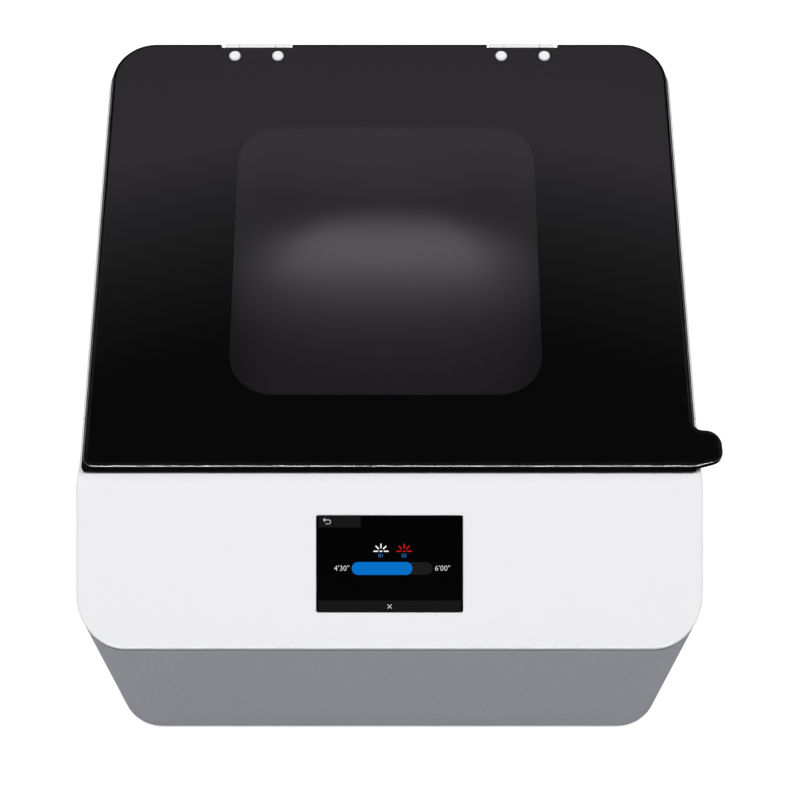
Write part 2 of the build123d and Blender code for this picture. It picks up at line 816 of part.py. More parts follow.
for name, seat_z in {"upper_bush": floor_top_z, "lower_bush": drive_top_z}.items():
    with BuildPart() as bush:
        with BuildSketch(Plane.XY.offset(seat_z - bush_len)):
            with Locations((chamber_x, chamber_y)):
                Circle(bush_r)
        extrude(amount=bush_len)
        with BuildSketch(Plane.XY.offset(seat_z)):
            with Locations((chamber_x, chamber_y)):
                Circle(bush_flange_r)
        extrude(amount=bush_flange_t)
        with BuildSketch(Plane.XY.offset(seat_z - bush_len)):
            with Locations((chamber_x, chamber_y)):
                Circle(shaft_r + shaft_fit)
        extrude(amount=bush_len + bush_flange_t, mode=Mode.SUBTRACT)
    save(bush.part, name)

gear_window_at = (gear_hub_r + gear_module * (gear_teeth / 2 - 2)) / 2
with BuildPart() as turntable_gear:
    with BuildSketch(Plane.XY.offset(gear_z).move(Location((chamber_x, chamber_y, 0)))):
        with BuildLine():
            gear_outline(gear_teeth)
        make_face()
        with PolarLocations(gear_window_at, gear_windows):
            Circle(gear_window_r, mode=Mode.SUBTRACT)
    extrude(amount=gear_t)
    with BuildSketch(Plane.XY.offset(gear_z - gear_hub_h)):
        with Locations((chamber_x, chamber_y)):
            Circle(gear_hub_r)
    extrude(amount=gear_hub_h)
    with BuildSketch(Plane.XY.offset(gear_z - gear_hub_h)):
        with Locations((chamber_x, chamber_y)):
            Circle(shaft_r)
    extrude(amount=gear_hub_h + gear_t, mode=Mode.SUBTRACT)
save(turntable_gear.part, "turntable_gear")

pinion_turn = 90 - 180 / pinion_teeth
pinion_plane = Plane(
    origin=(chamber_x, pinion_y, gear_z - pinion_over),
    x_dir=(cos(radians(pinion_turn)), sin(radians(pinion_turn)), 0),
    z_dir=(0, 0, 1),
)
pinion_t = gear_t + 2 * pinion_over
with BuildPart() as motor_pinion:
    with BuildSketch(pinion_plane):
        with BuildLine():
            gear_outline(pinion_teeth)
        make_face()
        Circle(motor_shaft_r, mode=Mode.SUBTRACT)
    extrude(amount=pinion_t)
save(motor_pinion.part, "motor_pinion")

motor_shaft_z = drive_top_z - motor_shaft_depth
with BuildPart() as motor_shaft:
    with BuildSketch(Plane.XY.offset(motor_shaft_z)):
        with Locations((chamber_x, pinion_y)):
            Circle(motor_shaft_r)
    extrude(amount=gear_z - pinion_over + pinion_t + motor_shaft_end - motor_shaft_z)
    chamfer(motor_shaft.faces().sort_by(Axis.Z)[-1].edges(), edge_break)
save(motor_shaft.part, "motor_shaft")

with BuildPart() as gear_motor:
    with BuildSketch(Plane.XY.offset(drive_z - motor_len)):
        with Locations((chamber_x, pinion_y - motor_offset)):
            Circle(motor_r)
    extrude(amount=motor_len)
    chamfer(gear_motor.faces().sort_by(Axis.Z)[0].edges(), motor_chamfer)
    with BuildSketch(Plane.XY.offset(drive_z)):
        with Locations((chamber_x, pinion_y)):
            Circle(motor_boss_r)
    extrude(amount=drive_plate_t)
    with BuildSketch(Plane.XY.offset(motor_shaft_z - thrust_gap)):
        with Locations((chamber_x, pinion_y)):
            Circle(motor_shaft_r + shaft_fit)
    extrude(amount=motor_shaft_depth + thrust_gap, mode=Mode.SUBTRACT)
save(gear_motor.part, "gear_motor")

with BuildPart() as drive_plate:
    with BuildSketch(Plane.XY.offset(drive_z)):
        with Locations((chamber_x, (drive_y0 + drive_y1) / 2)):
            RectangleRounded(drive_plate_w, drive_y1 - drive_y0, drive_plate_r)
        with Locations((chamber_x, chamber_y)):
            Circle(bush_r, mode=Mode.SUBTRACT)
        with Locations((chamber_x, pinion_y)):
            Circle(motor_boss_r + motor_boss_fit, mode=Mode.SUBTRACT)
    extrude(amount=drive_plate_t)
save(drive_plate.part, "drive_plate")

with BuildPart() as drive_posts:
    with BuildSketch(Plane.XY.offset(drive_top_z)):
        with Locations(*post_points):
            RegularPolygon(post_r, 6)
    extrude(amount=drive_drop)
save(drive_posts.part, "drive_posts")

# ---------------------------------------------------------------- electrics
with BuildPart() as control_board:
    with BuildSketch(Plane.XY.offset(plate_z + board_standoff)):
        with Locations((board_x, board_y)):
            Rectangle(board_w, board_d)
    extrude(amount=board_t)
    board_top = plate_z + board_standoff + board_t
    for share_x, share_y, share_w, share_d, height in board_modules:
        with BuildSketch(Plane.XY.offset(board_top)):
            with Locations((board_x + share_x * board_w, board_y + share_y * board_d)):
                Rectangle(share_w * board_w, share_d * board_d)
        extrude(amount=height)
    with BuildSketch(Plane.XY.offset(board_top)):
        with Locations((board_x - board_w / 4, board_y - board_d / 8)):
            with GridLocations(capacitor_step, 1, 3, 1):
                Circle(capacitor_r)
    extrude(amount=capacitor_h)
save(control_board.part, "control_board")

with BuildPart() as power_supply:
    with BuildSketch(Plane.XY.offset(plate_z)):
        with Locations((supply_x, supply_y)):
            Rectangle(supply_w, supply_d)
    extrude(amount=supply_h)
    chamfer(power_supply.edges().filter_by(Axis.Y).group_by(Axis.Z)[-1], supply_chamfer)
    with BuildSketch(Plane.XY.offset(plate_z + supply_h)):
        with Locations((supply_x, supply_y)):
            with GridLocations(1, supply_slot_row_h, 1, supply_slots):
                Rectangle(supply_slot_w, supply_slot_h)
    extrude(amount=-supply_slot_deep, mode=Mode.SUBTRACT)
save(power_supply.part, "power_supply")

# ---------------------------------------------------------------- fan
fan_plane = rear_plane(fan_x, fan_z, wall)
with BuildPart() as fan_frame:
    with BuildSketch(fan_plane.offset(-fan_t)):
        RectangleRounded(fan_size, fan_size, fan_corner_r)
        Circle(fan_bore_r, mode=Mode.SUBTRACT)
        with GridLocations(fan_hole_w, fan_hole_w, 2, 2):
            Circle(fan_hole_r, mode=Mode.SUBTRACT)
    extrude(amount=fan_t)
    with BuildSketch(fan_plane.offset(-fan_strut_t)):
        Circle(fan_hub_r)
        with PolarLocations(0, 2, start_angle=45, angular_range=180):
            Rectangle(2 * (fan_bore_r + fan_strut_in), fan_strut_w)
    extrude(amount=fan_strut_t)
    with BuildSketch(fan_plane.offset(-fan_t + fan_gap)):
        Circle(fan_axle_r)
    extrude(amount=fan_t - fan_gap - fan_strut_t)
save(fan_frame.part, "fan_frame")

rotor_low = -fan_t + fan_gap
rotor_high = -fan_strut_t - fan_gap
rotor_mid = (rotor_low + rotor_high) / 2
blade_root = fan_hub_r - fan_root_in
blade_plane = Plane(
    origin=fan_plane.from_local_coords((blade_root, 0, rotor_mid)),
    x_dir=fan_plane.z_dir,
    z_dir=fan_plane.x_dir,
)
with BuildPart() as fan_blade:
    with BuildSketch(blade_plane):
        Rectangle(fan_blade_chord, fan_blade_t, rotation=fan_blade_turn)
    extrude(amount=fan_bore_r - fan_tip_gap - blade_root)

with BuildPart() as fan_rotor:
    with BuildSketch(fan_plane.offset(rotor_low)):
        Circle(fan_hub_r)
    extrude(amount=rotor_high - rotor_low)
    for blade in range(fan_blades):
        add(fan_blade.part.rotate(Axis(fan_plane.origin, fan_plane.z_dir), 360 * blade / fan_blades))
    with BuildSketch(fan_plane.offset(rotor_low)):
        Circle(fan_axle_r + fan_axle_fit)
    extrude(amount=rotor_high - rotor_low, mode=Mode.SUBTRACT)
save(fan_rotor.part, "fan_rotor")

ring_step = fan_bore_r / (guard_rings + 0.5)
lug_reach = fan_hole_w / 2 * sqrt(2)
with BuildPart() as fan_guard:
    with BuildSketch(rear_plane(fan_x, fan_z)):
        Circle(fan_bore_r + guard_rim)
        Circle(fan_bore_r, mode=Mode.SUBTRACT)
        for ring in range(guard_rings, 0, -1):
            Circle(ring_step * ring)
            Circle(ring_step * ring - guard_ring_w, mode=Mode.SUBTRACT)
        with PolarLocations(0, 2, start_angle=45, angular_range=180):
            Rectangle(2 * lug_reach, guard_spoke_w)
        with PolarLocations(lug_reach, 4, start_angle=45):
            Circle(guard_lug_r)
            Circle(fan_hole_r, mode=Mode.SUBTRACT)
    extrude(amount=guard_t)
save(fan_guard.part, "fan_guard")

fan_screw_len = guard_t + wall + fan_t
with BuildPart() as fan_screws:
    with BuildSketch(rear_plane(fan_x, fan_z, -guard_t)):
        with GridLocations(fan_hole_w, fan_hole_w, 2, 2):
            Circle(fan_screw_head_r)
    extrude(amount=fan_screw_head_h)
    with BuildSketch(rear_plane(fan_x, fan_z, -guard_t)):
        with GridLocations(fan_hole_w, fan_hole_w, 2, 2):
            Circle(fan_screw_r)
    extrude(amount=-fan_screw_len)
save(fan_screws.part, "fan_screws")

# ---------------------------------------------------------------- power inlet and switch
with BuildPart() as power_inlet:
    with BuildSketch(rear_plane(inlet_x, inlet_z)):
        RectangleRounded(inlet_flange_w, inlet_flange_h, inlet_flange_r)
        with GridLocations(inlet_screw_w, 1, 2, 1):
            Circle(inlet_screw_r, mode=Mode.SUBTRACT)
    extrude(amount=inlet_flange_t)
    with BuildSketch(rear_plane(inlet_x, inlet_z)):
        RectangleRounded(inlet_w, inlet_h, small_r)
    extrude(amount=-inlet_depth)
    with BuildSketch(rear_plane(inlet_x, inlet_z, -inlet_flange_t)) as socket_shape:
        Rectangle(inlet_socket_w, inlet_socket_h)
        chamfer(socket_shape.vertices().group_by(Axis.Z)[-1], inlet_corner)
    extrude(amount=-inlet_socket_depth, mode=Mode.SUBTRACT)
save(power_inlet.part, "power_inlet")

blade_depth = inlet_socket_depth - inlet_flange_t
with BuildPart() as inlet_blades:
    with BuildSketch(rear_plane(inlet_x, inlet_z, blade_depth)):
        with Locations((-blade_step, -blade_rise), (0, blade_rise), (blade_step, -blade_rise)):
            Rectangle(blade_w, blade_h)
    extrude(amount=blade_len)
save(inlet_blades.part, "inlet_blades")

with BuildPart() as inlet_screws:
    with BuildSketch(rear_plane(inlet_x, inlet_z, -inlet_flange_t)):
        with GridLocations(inlet_screw_w, 1, 2, 1):
            Circle(inlet_screw_head_r)
    extrude(amount=inlet_screw_head_h)
    with BuildSketch(rear_plane(inlet_x, inlet_z, -inlet_flange_t)):
        with GridLocations(inlet_screw_w, 1, 2, 1):
            Circle(inlet_screw_r)
    extrude(amount=-inlet_screw_len)
save(inlet_screws.part, "inlet_screws")

with BuildPart() as switch_body:
    with BuildSketch(rear_plane(switch_x, inlet_z)):
        RectangleRounded(switch_w, switch_h, small_r)
    extrude(amount=switch_flange_t)
    with BuildSketch(rear_plane(switch_x, inlet_z)):
        Rectangle(switch_body_w, switch_body_h)
    extrude(amount=-switch_depth)
    with BuildSketch(rear_plane(switch_x, inlet_z, -switch_flange_t)):
        Rectangle(switch_body_w - 2 * switch_wall, 2 * (rocker_r + switch_fit))
    extrude(amount=-(switch_flange_t + switch_depth - switch_wall), mode=Mode.SUBTRACT)
    with BuildSketch(Plane.YZ):
        with Locations((rear_y - rocker_pivot, inlet_z)):
            Circle(rocker_pin_r + rocker_pin_fit)
    extrude(amount=switch_x + switch_body_w / 2, mode=Mode.SUBTRACT)
save(switch_body.part, "switch_body")

rocker_w = switch_body_w - 2 * (switch_wall + switch_fit)
rocker_plane = Plane(
    origin=(switch_x, rear_y - rocker_pivot, inlet_z),
    x_dir=(0, cos(radians(rocker_tilt)), sin(radians(rocker_tilt))),
    z_dir=(1, 0, 0),
)
with BuildPart() as switch_rocker:
    with BuildSketch(rocker_plane):
        Circle(rocker_r)
        Polygon(
            (rocker_tip, -rocker_r), (rocker_dish, 0), (rocker_tip, rocker_r),
            (2 * rocker_r, rocker_r), (2 * rocker_r, -rocker_r),
            align=None, mode=Mode.SUBTRACT,
        )
        with Locations((-rocker_under - rocker_r, 0)):
            Rectangle(2 * rocker_r, 2 * rocker_r, mode=Mode.SUBTRACT)
    extrude(amount=rocker_w / 2, both=True)
    with BuildSketch(rocker_plane):
        Circle(rocker_pin_r)
    extrude(amount=switch_body_w / 2, both=True)
save(switch_rocker.part, "switch_rocker")

# ---------------------------------------------------------------- lid
tab_run = tab_out * tan(radians(tab_rake))
lid_x = lid_w / 2
lid_screws = [
    (x + side * lid_screw_w / 2, lid_screw_y) for x in hinge_xs.values() for side in (-1, 1)
]
with BuildPart() as lid_panel:
    with BuildSketch(Plane.XY.offset(panel_z)):
        with BuildLine():
            FilletPolyline(
                (-lid_x, lid_y0),
                (lid_x, lid_y0),
                (lid_x + tab_out, lid_y0 + tab_run),
                (lid_x + tab_out, lid_y0 + tab_len),
                (lid_x, lid_y0 + tab_len),
                (lid_x, lid_y1),
                (-lid_x, lid_y1),
                radius=(panel_front_r, tab_rear_r, tab_front_r, tab_rear_r, tab_root_r,
                        panel_rear_r, panel_rear_r),
                close=True,
            )
        make_face()
    extrude(amount=panel_t)
    fillet(lid_panel.edges().group_by(Axis.Z)[-1], panel_edge_r)
    with BuildSketch(Plane.XY.offset(panel_z)):
        with Locations(*[(x, lid_y1) for x in hinge_xs.values()]):
            Rectangle(hinge_notch_w, 2 * hinge_notch_d)
        with Locations(*lid_screws):
            Circle(screw_r + screw_fit)
    extrude(amount=panel_t, mode=Mode.SUBTRACT)
save(lid_panel.part, "lid_panel")

leaf_y0 = axis_y - leaf_len
pocket_y0 = leaf_y0 - leaf_pocket
pocket_d = lid_y1 + 2 * frame_over - pocket_y0
with BuildPart() as lid_frame:
    with BuildSketch(Plane.XY.offset(frame_z)) as frame_shape:
        with Locations((0, (lid_y0 + lid_y1 + frame_over) / 2)):
            Rectangle(frame_w, lid_d + frame_over)
        fillet(frame_shape.vertices().group_by(Axis.Y)[0], frame_front_r)
        fillet(frame_shape.vertices().group_by(Axis.Y)[-1], panel_rear_r + frame_over)
        with Locations((chamber_x, window_y)):
            RectangleRounded(window_w, window_d, window_r, mode=Mode.SUBTRACT)
        with Locations(*[(x, pocket_y0 + pocket_d / 2) for x in hinge_xs.values()]):
            Rectangle(hinge_notch_w, pocket_d, mode=Mode.SUBTRACT)
    extrude(amount=frame_t)
    with BuildSketch(Plane.XY.offset(frame_z)):
        with Locations((chamber_x, chamber_y)):
            RectangleRounded(seal_span + 2 * seal_w, seal_span + 2 * seal_w, seal_r + seal_w)
            RectangleRounded(seal_span, seal_span, seal_r, mode=Mode.SUBTRACT)
    extrude(amount=seal_groove, mode=Mode.SUBTRACT)
    with BuildSketch(Plane.XY.offset(frame_z)):
        with Locations((sensor_x, seam_y - sensor_back)):
            Circle(magnet_r + magnet_fit)
    extrude(amount=magnet_t, mode=Mode.SUBTRACT)
save(lid_frame.part, "lid_frame")

with BuildPart() as lid_seal:
    with BuildSketch(Plane.XY.offset(seal_z)):
        with Locations((chamber_x, chamber_y)):
            RectangleRounded(seal_span + 2 * seal_w, seal_span + 2 * seal_w, seal_r + seal_w)
            RectangleRounded(seal_span, seal_span, seal_r, mode=Mode.SUBTRACT)
    extrude(amount=frame_z + seal_groove - seal_z)
save(lid_seal.part, "lid_seal")

with BuildPart() as lid_magnet:
    with BuildSketch(Plane.XY.offset(frame_z)):
        with Locations((sensor_x, seam_y - sensor_back)):
            Circle(magnet_r)
    extrude(amount=magnet_t)
save(lid_magnet.part, "lid_magnet")

with BuildPart() as lid_sensor:
    with BuildSketch(Plane.XY.offset(rim_under_z - sensor_h)):
        with Locations((sensor_x, seam_y - sensor_back)):
            RectangleRounded(sensor_w, sensor_d, small_r)
    extrude(amount=sensor_h)
save(lid_sensor.part, "lid_sensor")

# ---------------------------------------------------------------- hinges
for side, x in hinge_xs.items():
    ear_xs = (x - (hinge_len - ear_len) / 2, x + (hinge_len - ear_len) / 2)
    with BuildPart() as hinge_base:
        with BuildSketch(Plane.XY.offset(rim_z)):
            with Locations((x, axis_y + (base_back - base_front) / 2)):
                RectangleRounded(hinge_len, base_front + base_back, small_r)
        extrude(amount=base_t)
        for ear_x in ear_xs:
            with BuildSketch(Plane(origin=(ear_x, 0, 0), x_dir=(0, 1, 0), z_dir=(1, 0, 0))):
                with Locations((axis_y, axis_z)):
                    Circle(knuckle_r)
                with Locations((axis_y + (base_back - knuckle_r) / 2, (rim_z + axis_z) / 2)):
                    Rectangle(base_back + knuckle_r, axis_z - rim_z)
            extrude(amount=ear_len / 2, both=True)
        with Locations(*[(ear_x, axis_y - seat_screw_front, rim_z + base_t) for ear_x in ear_xs]):
            CounterSinkHole(seat_screw_r, seat_head_r, 2 * base_t)
        with BuildSketch(Plane.YZ.offset(x)):
            with Locations((axis_y, axis_z)):
                Circle(pin_r)
        extrude(amount=hinge_len, both=True, mode=Mode.SUBTRACT)
    save(hinge_base.part, f"hinge_base_{side}")

    with BuildPart() as hinge_leaf:
        with BuildSketch(Plane.XY.offset(leaf_z)):
            with Locations((x, (leaf_y0 + axis_y - knuckle_r - leaf_clear) / 2)):
                Rectangle(hinge_len, axis_y - knuckle_r - leaf_clear - leaf_y0)
            with Locations((x, (leaf_y0 + axis_y) / 2)):
                Rectangle(centre_knuckle, axis_y - leaf_y0)
        extrude(amount=leaf_t)
        with BuildSketch(Plane.YZ.offset(x)):
            with Locations((axis_y, axis_z)):
                Circle(knuckle_r)
        extrude(amount=centre_knuckle / 2, both=True)
        with BuildSketch(Plane.YZ.offset(x)):
            with Locations((axis_y, axis_z)):
                Circle(pin_r + pin_fit)
        extrude(amount=centre_knuckle, both=True, mode=Mode.SUBTRACT)
        with Locations(*[(x + s * lid_screw_w / 2, lid_screw_y, leaf_z + leaf_t) for s in (-1, 1)]):
            Hole(screw_r, 2 * leaf_t)
    save(hinge_leaf.part, f"hinge_leaf_{side}")

with BuildPart() as hinge_pins:
    for x in hinge_xs.values():
        with BuildSketch(Plane.YZ.offset(x)):
            with Locations((axis_y, axis_z)):
                Circle(pin_r)
        extrude(amount=hinge_len / 2, both=True)
save(hinge_pins.part, "hinge_pins")

with BuildPart() as lid_screw_set:
    with BuildSketch(Plane.XY.offset(lid_top_z)):
        with Locations(*lid_screws):
            Circle(screw_head_r)
    extrude(amount=screw_head_h)
    chamfer(lid_screw_set.edges().group_by(Axis.Z)[-1], screw_head_h / 2)
    with BuildSketch(Plane.XY.offset(leaf_z)):
        with Locations(*lid_screws):
            Circle(screw_r)
    extrude(amount=lid_top_z - leaf_z)
save(lid_screw_set.part, "lid_screws")

seat_z = rim_z + base_t
seat_head_h = seat_head_r - seat_screw_r
with BuildPart() as hinge_seat_screws:
    with BuildSketch(Plane.XY.offset(seat_z)):
        with Locations(*seat_points):
            Circle(seat_head_r)
    extrude(amount=-seat_head_h, taper=45)
    with BuildSketch(Plane.XY.offset(seat_z - seat_head_h)):
        with Locations(*seat_points):
            Circle(seat_screw_r)
    extrude(amount=seat_head_h - seat_screw_len)
save(hinge_seat_screws.part, "hinge_seat_screws")
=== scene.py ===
"""Bench-top light curing unit: finishes, lit screen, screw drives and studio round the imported
frame."""
import json
from math import cos, pi, radians, sin

import bmesh
import bpy
from mathutils import Matrix, Vector

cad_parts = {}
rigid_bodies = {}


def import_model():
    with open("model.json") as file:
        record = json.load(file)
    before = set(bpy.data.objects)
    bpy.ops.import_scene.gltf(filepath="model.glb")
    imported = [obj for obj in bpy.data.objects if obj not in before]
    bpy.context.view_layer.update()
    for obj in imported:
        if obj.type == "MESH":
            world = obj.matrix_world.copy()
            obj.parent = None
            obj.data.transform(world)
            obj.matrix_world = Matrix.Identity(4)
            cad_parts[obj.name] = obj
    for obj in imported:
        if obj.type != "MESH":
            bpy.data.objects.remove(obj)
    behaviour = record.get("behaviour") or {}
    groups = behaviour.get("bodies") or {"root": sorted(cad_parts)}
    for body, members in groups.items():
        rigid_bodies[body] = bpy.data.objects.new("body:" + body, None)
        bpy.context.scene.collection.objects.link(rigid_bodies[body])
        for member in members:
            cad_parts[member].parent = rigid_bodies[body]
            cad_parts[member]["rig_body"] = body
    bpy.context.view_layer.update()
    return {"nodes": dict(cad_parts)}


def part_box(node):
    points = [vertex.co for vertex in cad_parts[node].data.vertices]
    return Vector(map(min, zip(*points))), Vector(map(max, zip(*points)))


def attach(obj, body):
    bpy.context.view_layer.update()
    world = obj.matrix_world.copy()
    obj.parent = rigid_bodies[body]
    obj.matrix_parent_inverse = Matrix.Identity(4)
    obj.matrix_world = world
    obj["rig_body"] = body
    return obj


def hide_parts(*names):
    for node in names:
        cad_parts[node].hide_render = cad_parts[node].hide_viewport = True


bl_info = {
    "name": "Light Curing Unit",
    "version": (1, 0, 0),
    "blender": (4, 5, 0),
    "location": "View3D > Sidebar > Curing Unit",
    "description": "Finishes a bench-top light curing unit and sets its studio",
    "category": "Object",
}

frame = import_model()
MM = 0.001
SAME = 0.01 * MM  # points that are nearer than this lie in one plane
SKIN = 0.05 * MM  # how far from a face its print or tape still counts
BLACK_PRINT = "0A0A0B"


# ---------------------------------------------------------------- settings
class CuringUnitSizes(bpy.types.PropertyGroup):
    """Sizes of the pieces that are added to the frame."""

    screen_raise: bpy.props.FloatProperty(
        name="Screen raise", description="Lit marks above the cover glass",
        default=0.03 * MM, unit="LENGTH", precision=5)
    mark_depth: bpy.props.FloatProperty(
        name="Mark depth", description="Thickness of the screen's and the switch's marks",
        default=0.08 * MM, unit="LENGTH", precision=5)
    digit_height: bpy.props.FloatProperty(
        name="Digit height", description="Height of the timer's digits",
        default=2.75 * MM, unit="LENGTH", precision=5)
    print_height: bpy.props.FloatProperty(
        name="Print height", description="How far the lid's black print comes up its edge",
        default=3.3 * MM, unit="LENGTH", precision=5)
    notch_depth: bpy.props.FloatProperty(
        name="Hinge notch", description="How far the plate's notch at a hinge runs in",
        default=3.1 * MM, unit="LENGTH", precision=5)
    # Painted shade: how far down the housing's wall its colour is darkened in the joint, for the
    # shade that falls there.
    painted_shade_height: bpy.props.FloatProperty(
        name="Joint shade", description="How far the joint's shade comes down the housing's wall",
        default=0.2 * MM, unit="LENGTH", precision=5)
    recess_length: bpy.props.FloatProperty(
        name="Recess length", description="Screw drive's length as a share of the head's width",
        default=0.62, subtype="FACTOR", min=0.0, max=1.0)
    recess_width: bpy.props.FloatProperty(
        name="Recess width", description="Width of a screw drive's slots",
        default=0.85 * MM, unit="LENGTH", precision=5)
    recess_depth: bpy.props.FloatProperty(
        name="Recess depth", description="Depth of a screw drive's slots",
        default=0.8 * MM, unit="LENGTH", precision=5)


class CuringUnitColours(bpy.types.PropertyGroup):
    """Colours that a user would change, as sRGB hex values."""

    cover: bpy.props.StringProperty(
        name="Covers", description="White moulded covers", default="F0F0F2")
    housing: bpy.props.StringProperty(
        name="Housing", description="Grey moulded housing", default="90929C")
    plate_tint: bpy.props.StringProperty(
        name="Lid tint", description="Tint of the lid's plate over its whole thickness",
        default="676369")
    progress: bpy.props.StringProperty(
        name="Progress bar", description="Filled part of the screen's progress bar",
        default="0070C8")
    chamber_light: bpy.props.StringProperty(
        name="Chamber light", description="Light sources in the chamber's walls", default="F4F0FF")


def sizes():
    """The size settings."""
    return bpy.context.scene.curing_unit_sizes


def colours():
    """The colour settings."""
    return bpy.context.scene.curing_unit_colours


# ---------------------------------------------------------------- colour and node helpers
def linear(hex_value):
    """An sRGB hex value as linear red, green, blue and alpha."""
    parts = [int(hex_value[i:i + 2], 16) / 255 for i in (0, 2, 4)]
    return [p / 12.92 if p <= 0.04045 else ((p + 0.055) / 1.055) ** 2.4 for p in parts] + [1.0]


def scaled(colour, share):
    """A linear colour made darker or lighter, up to white."""
    return [min(c * share, 1.0) for c in colour[:3]] + [1.0]


def add_node(tree, kind, inputs=(), **settings):
    """Add one shader node with its settings; an input is a value or the socket that feeds it."""
    node = tree.nodes.new("ShaderNode" + kind)
    for name, value in settings.items():
        setattr(node, name, value)
    for name, value in dict(inputs).items():
        if isinstance(value, bpy.types.NodeSocket):
            tree.links.new(value, node.inputs[name])
        else:
            node.inputs[name].default_value = value
    return node


def new_material(name, **values):
    """A material with one Principled shader, its values set on its own sockets."""
    material = bpy.data.materials.new(name)
    material.use_nodes = True
    tree = material.node_tree
    shader = tree.nodes["Principled BSDF"]
    for key, value in values.items():
        shader.inputs[key.replace("_", " ").title().replace("Ior", "IOR")].default_value = value
    return material, tree, shader


def object_pattern(tree, stretch=(1.0, 1.0, 1.0), shift=(0.0, 0.0, 0.0)):
    """Object coordinates, stretched or shifted by a Mapping node."""
    coordinates = add_node(tree, "TexCoord")
    mapping = add_node(tree, "Mapping", {
        "Vector": coordinates.outputs["Object"], "Scale": stretch, "Location": shift})
    return mapping.outputs["Vector"]


def per_metre(size_mm):
    """A texture's scale for a pattern whose grains are that many millimetres across."""
    return 1 / (size_mm * MM)


def mottle(tree, shader, vector, base_hex, grain_mm, spread, detail=3.0):
    """Vary the base colour a little, darker and lighter than its own value, grain by grain."""
    grains = add_node(tree, "TexNoise", {
        "Vector": vector, "Scale": per_metre(grain_mm), "Detail": detail, "Roughness": 0.6})
    base = linear(base_hex)
    # The colour sockets of a Mix node are its seventh and eighth inputs and its third output.
    mix = add_node(tree, "Mix", {
        "Factor": grains.outputs["Fac"], 6: scaled(base, 1 - spread),
        7: scaled(base, 1 + spread)}, data_type="RGBA")
    tree.links.new(mix.outputs[2], shader.inputs["Base Color"])
    return grains.outputs["Fac"]


def paint_over(tree, shader, mask, colour):
    """Put another base colour over a mottled one where the mask is one."""
    under = shader.inputs["Base Color"].links[0].from_socket
    mix = add_node(tree, "Mix", {"Factor": mask, 6: under, 7: colour}, data_type="RGBA")
    tree.links.new(mix.outputs[2], shader.inputs["Base Color"])


def relief(tree, shader, height, depth_mm):
    """Raise the surface by a height pattern."""
    bump = add_node(tree, "Bump", {"Height": height, "Distance": depth_mm * MM})
    tree.links.new(bump.outputs["Normal"], shader.inputs["Normal"])


def vary_roughness(tree, shader, factor, low, high):
    """Let the roughness run between two values with a pattern."""
    ramp = add_node(tree, "MapRange", {"Value": factor, "To Min": low, "To Max": high})
    tree.links.new(ramp.outputs["Result"], shader.inputs["Roughness"])


def finish(material, *names):
    """Give CAD nodes a material."""
    for name in names:
        mesh = frame["nodes"][name].data
        mesh.materials.clear()
        mesh.materials.append(material)


def body_of(node):
    """The body that a CAD node rides on."""
    return frame["nodes"][node]["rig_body"]


def dress(piece, material, body):
    """Give a new piece its material and its body."""
    piece.data.materials.clear()
    piece.data.materials.append(material)
    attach(piece, body)


# ---------------------------------------------------------------- finishes
def moulded_plastic(name, base_hex, roughness, grain_mm, depth_mm, spread=0.02, specular=0.5):
    """ABS moulded in a spark-eroded tool: an even satin surface with a fine grain."""
    material, tree, shader = new_material(
        name, roughness=roughness, ior=1.53, specular_ior_level=specular)
    vector = object_pattern(tree)
    # The colour hardly varies; the grain shows as a fine sparkle in the shading.
    mottle(tree, shader, vector, base_hex, grain_mm * 4, spread)
    grain = add_node(tree, "TexNoise", {
        "Vector": vector, "Scale": per_metre(grain_mm), "Detail": 2.0}).outputs["Fac"]
    relief(tree, shader, grain, depth_mm)
    vary_roughness(tree, shader, grain, roughness - 0.05, roughness + 0.05)
    return material


def grained_housing():
    """Grey ABS with a coarse spark-eroded grain, and painted shade in the joint under the sloping
    cover.
    """
    grain_mm = 1.1
    material, tree, shader = new_material(
        "grey_grained_abs", roughness=0.5, ior=1.53, specular_ior_level=0.25)
    vector = object_pattern(tree)
    mottle(tree, shader, vector, colours().housing, grain_mm, 0.2, detail=2.0)
    # The joint follows the cover's slope, so its height is taken along the display's normal.
    out = face_frame("display_glass").to_3x3().col[2]
    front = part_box("base_housing")[0].y + SKIN
    lip = max(v.co.dot(out) for v in frame["nodes"]["base_housing"].data.vertices
              if v.co.y < front)
    level = add_node(tree, "VectorMath", {0: vector, 1: out}, operation="DOT_PRODUCT")
    painted_joint_shade = add_node(tree, "Math", {
        0: level.outputs["Value"], 1: lip - sizes().painted_shade_height}, operation="GREATER_THAN")
    # Painted shade: the ledge and tongue seen in the joint get a third of the housing's colour,
    # for the shade that falls between the cover and the housing.
    paint_over(tree, shader, painted_joint_shade.outputs[0], scaled(linear(colours().housing), 0.3))
    grain = add_node(tree, "TexNoise", {
        "Vector": vector, "Scale": per_metre(grain_mm), "Detail": 2.0})
    relief(tree, shader, grain.outputs["Fac"], 0.05)
    return material


def sheet_metal(name, base_hex, roughness, spangle_mm, spread=0.06):
    """Zinc-plated steel sheet: a dull metal whose crystals show as faint patches."""
    material, tree, shader = new_material(name, metallic=1.0, roughness=roughness)
    vector = object_pattern(tree)
    patches = add_node(tree, "TexVoronoi", {"Vector": vector, "Scale": per_metre(spangle_mm)})
    tone = add_node(tree, "SeparateColor", {"Color": patches.outputs["Color"]})
    vary_roughness(tree, shader, tone.outputs["Red"], roughness - 0.06, roughness + 0.08)
    mottle(tree, shader, vector, base_hex, spangle_mm, spread)
    return material


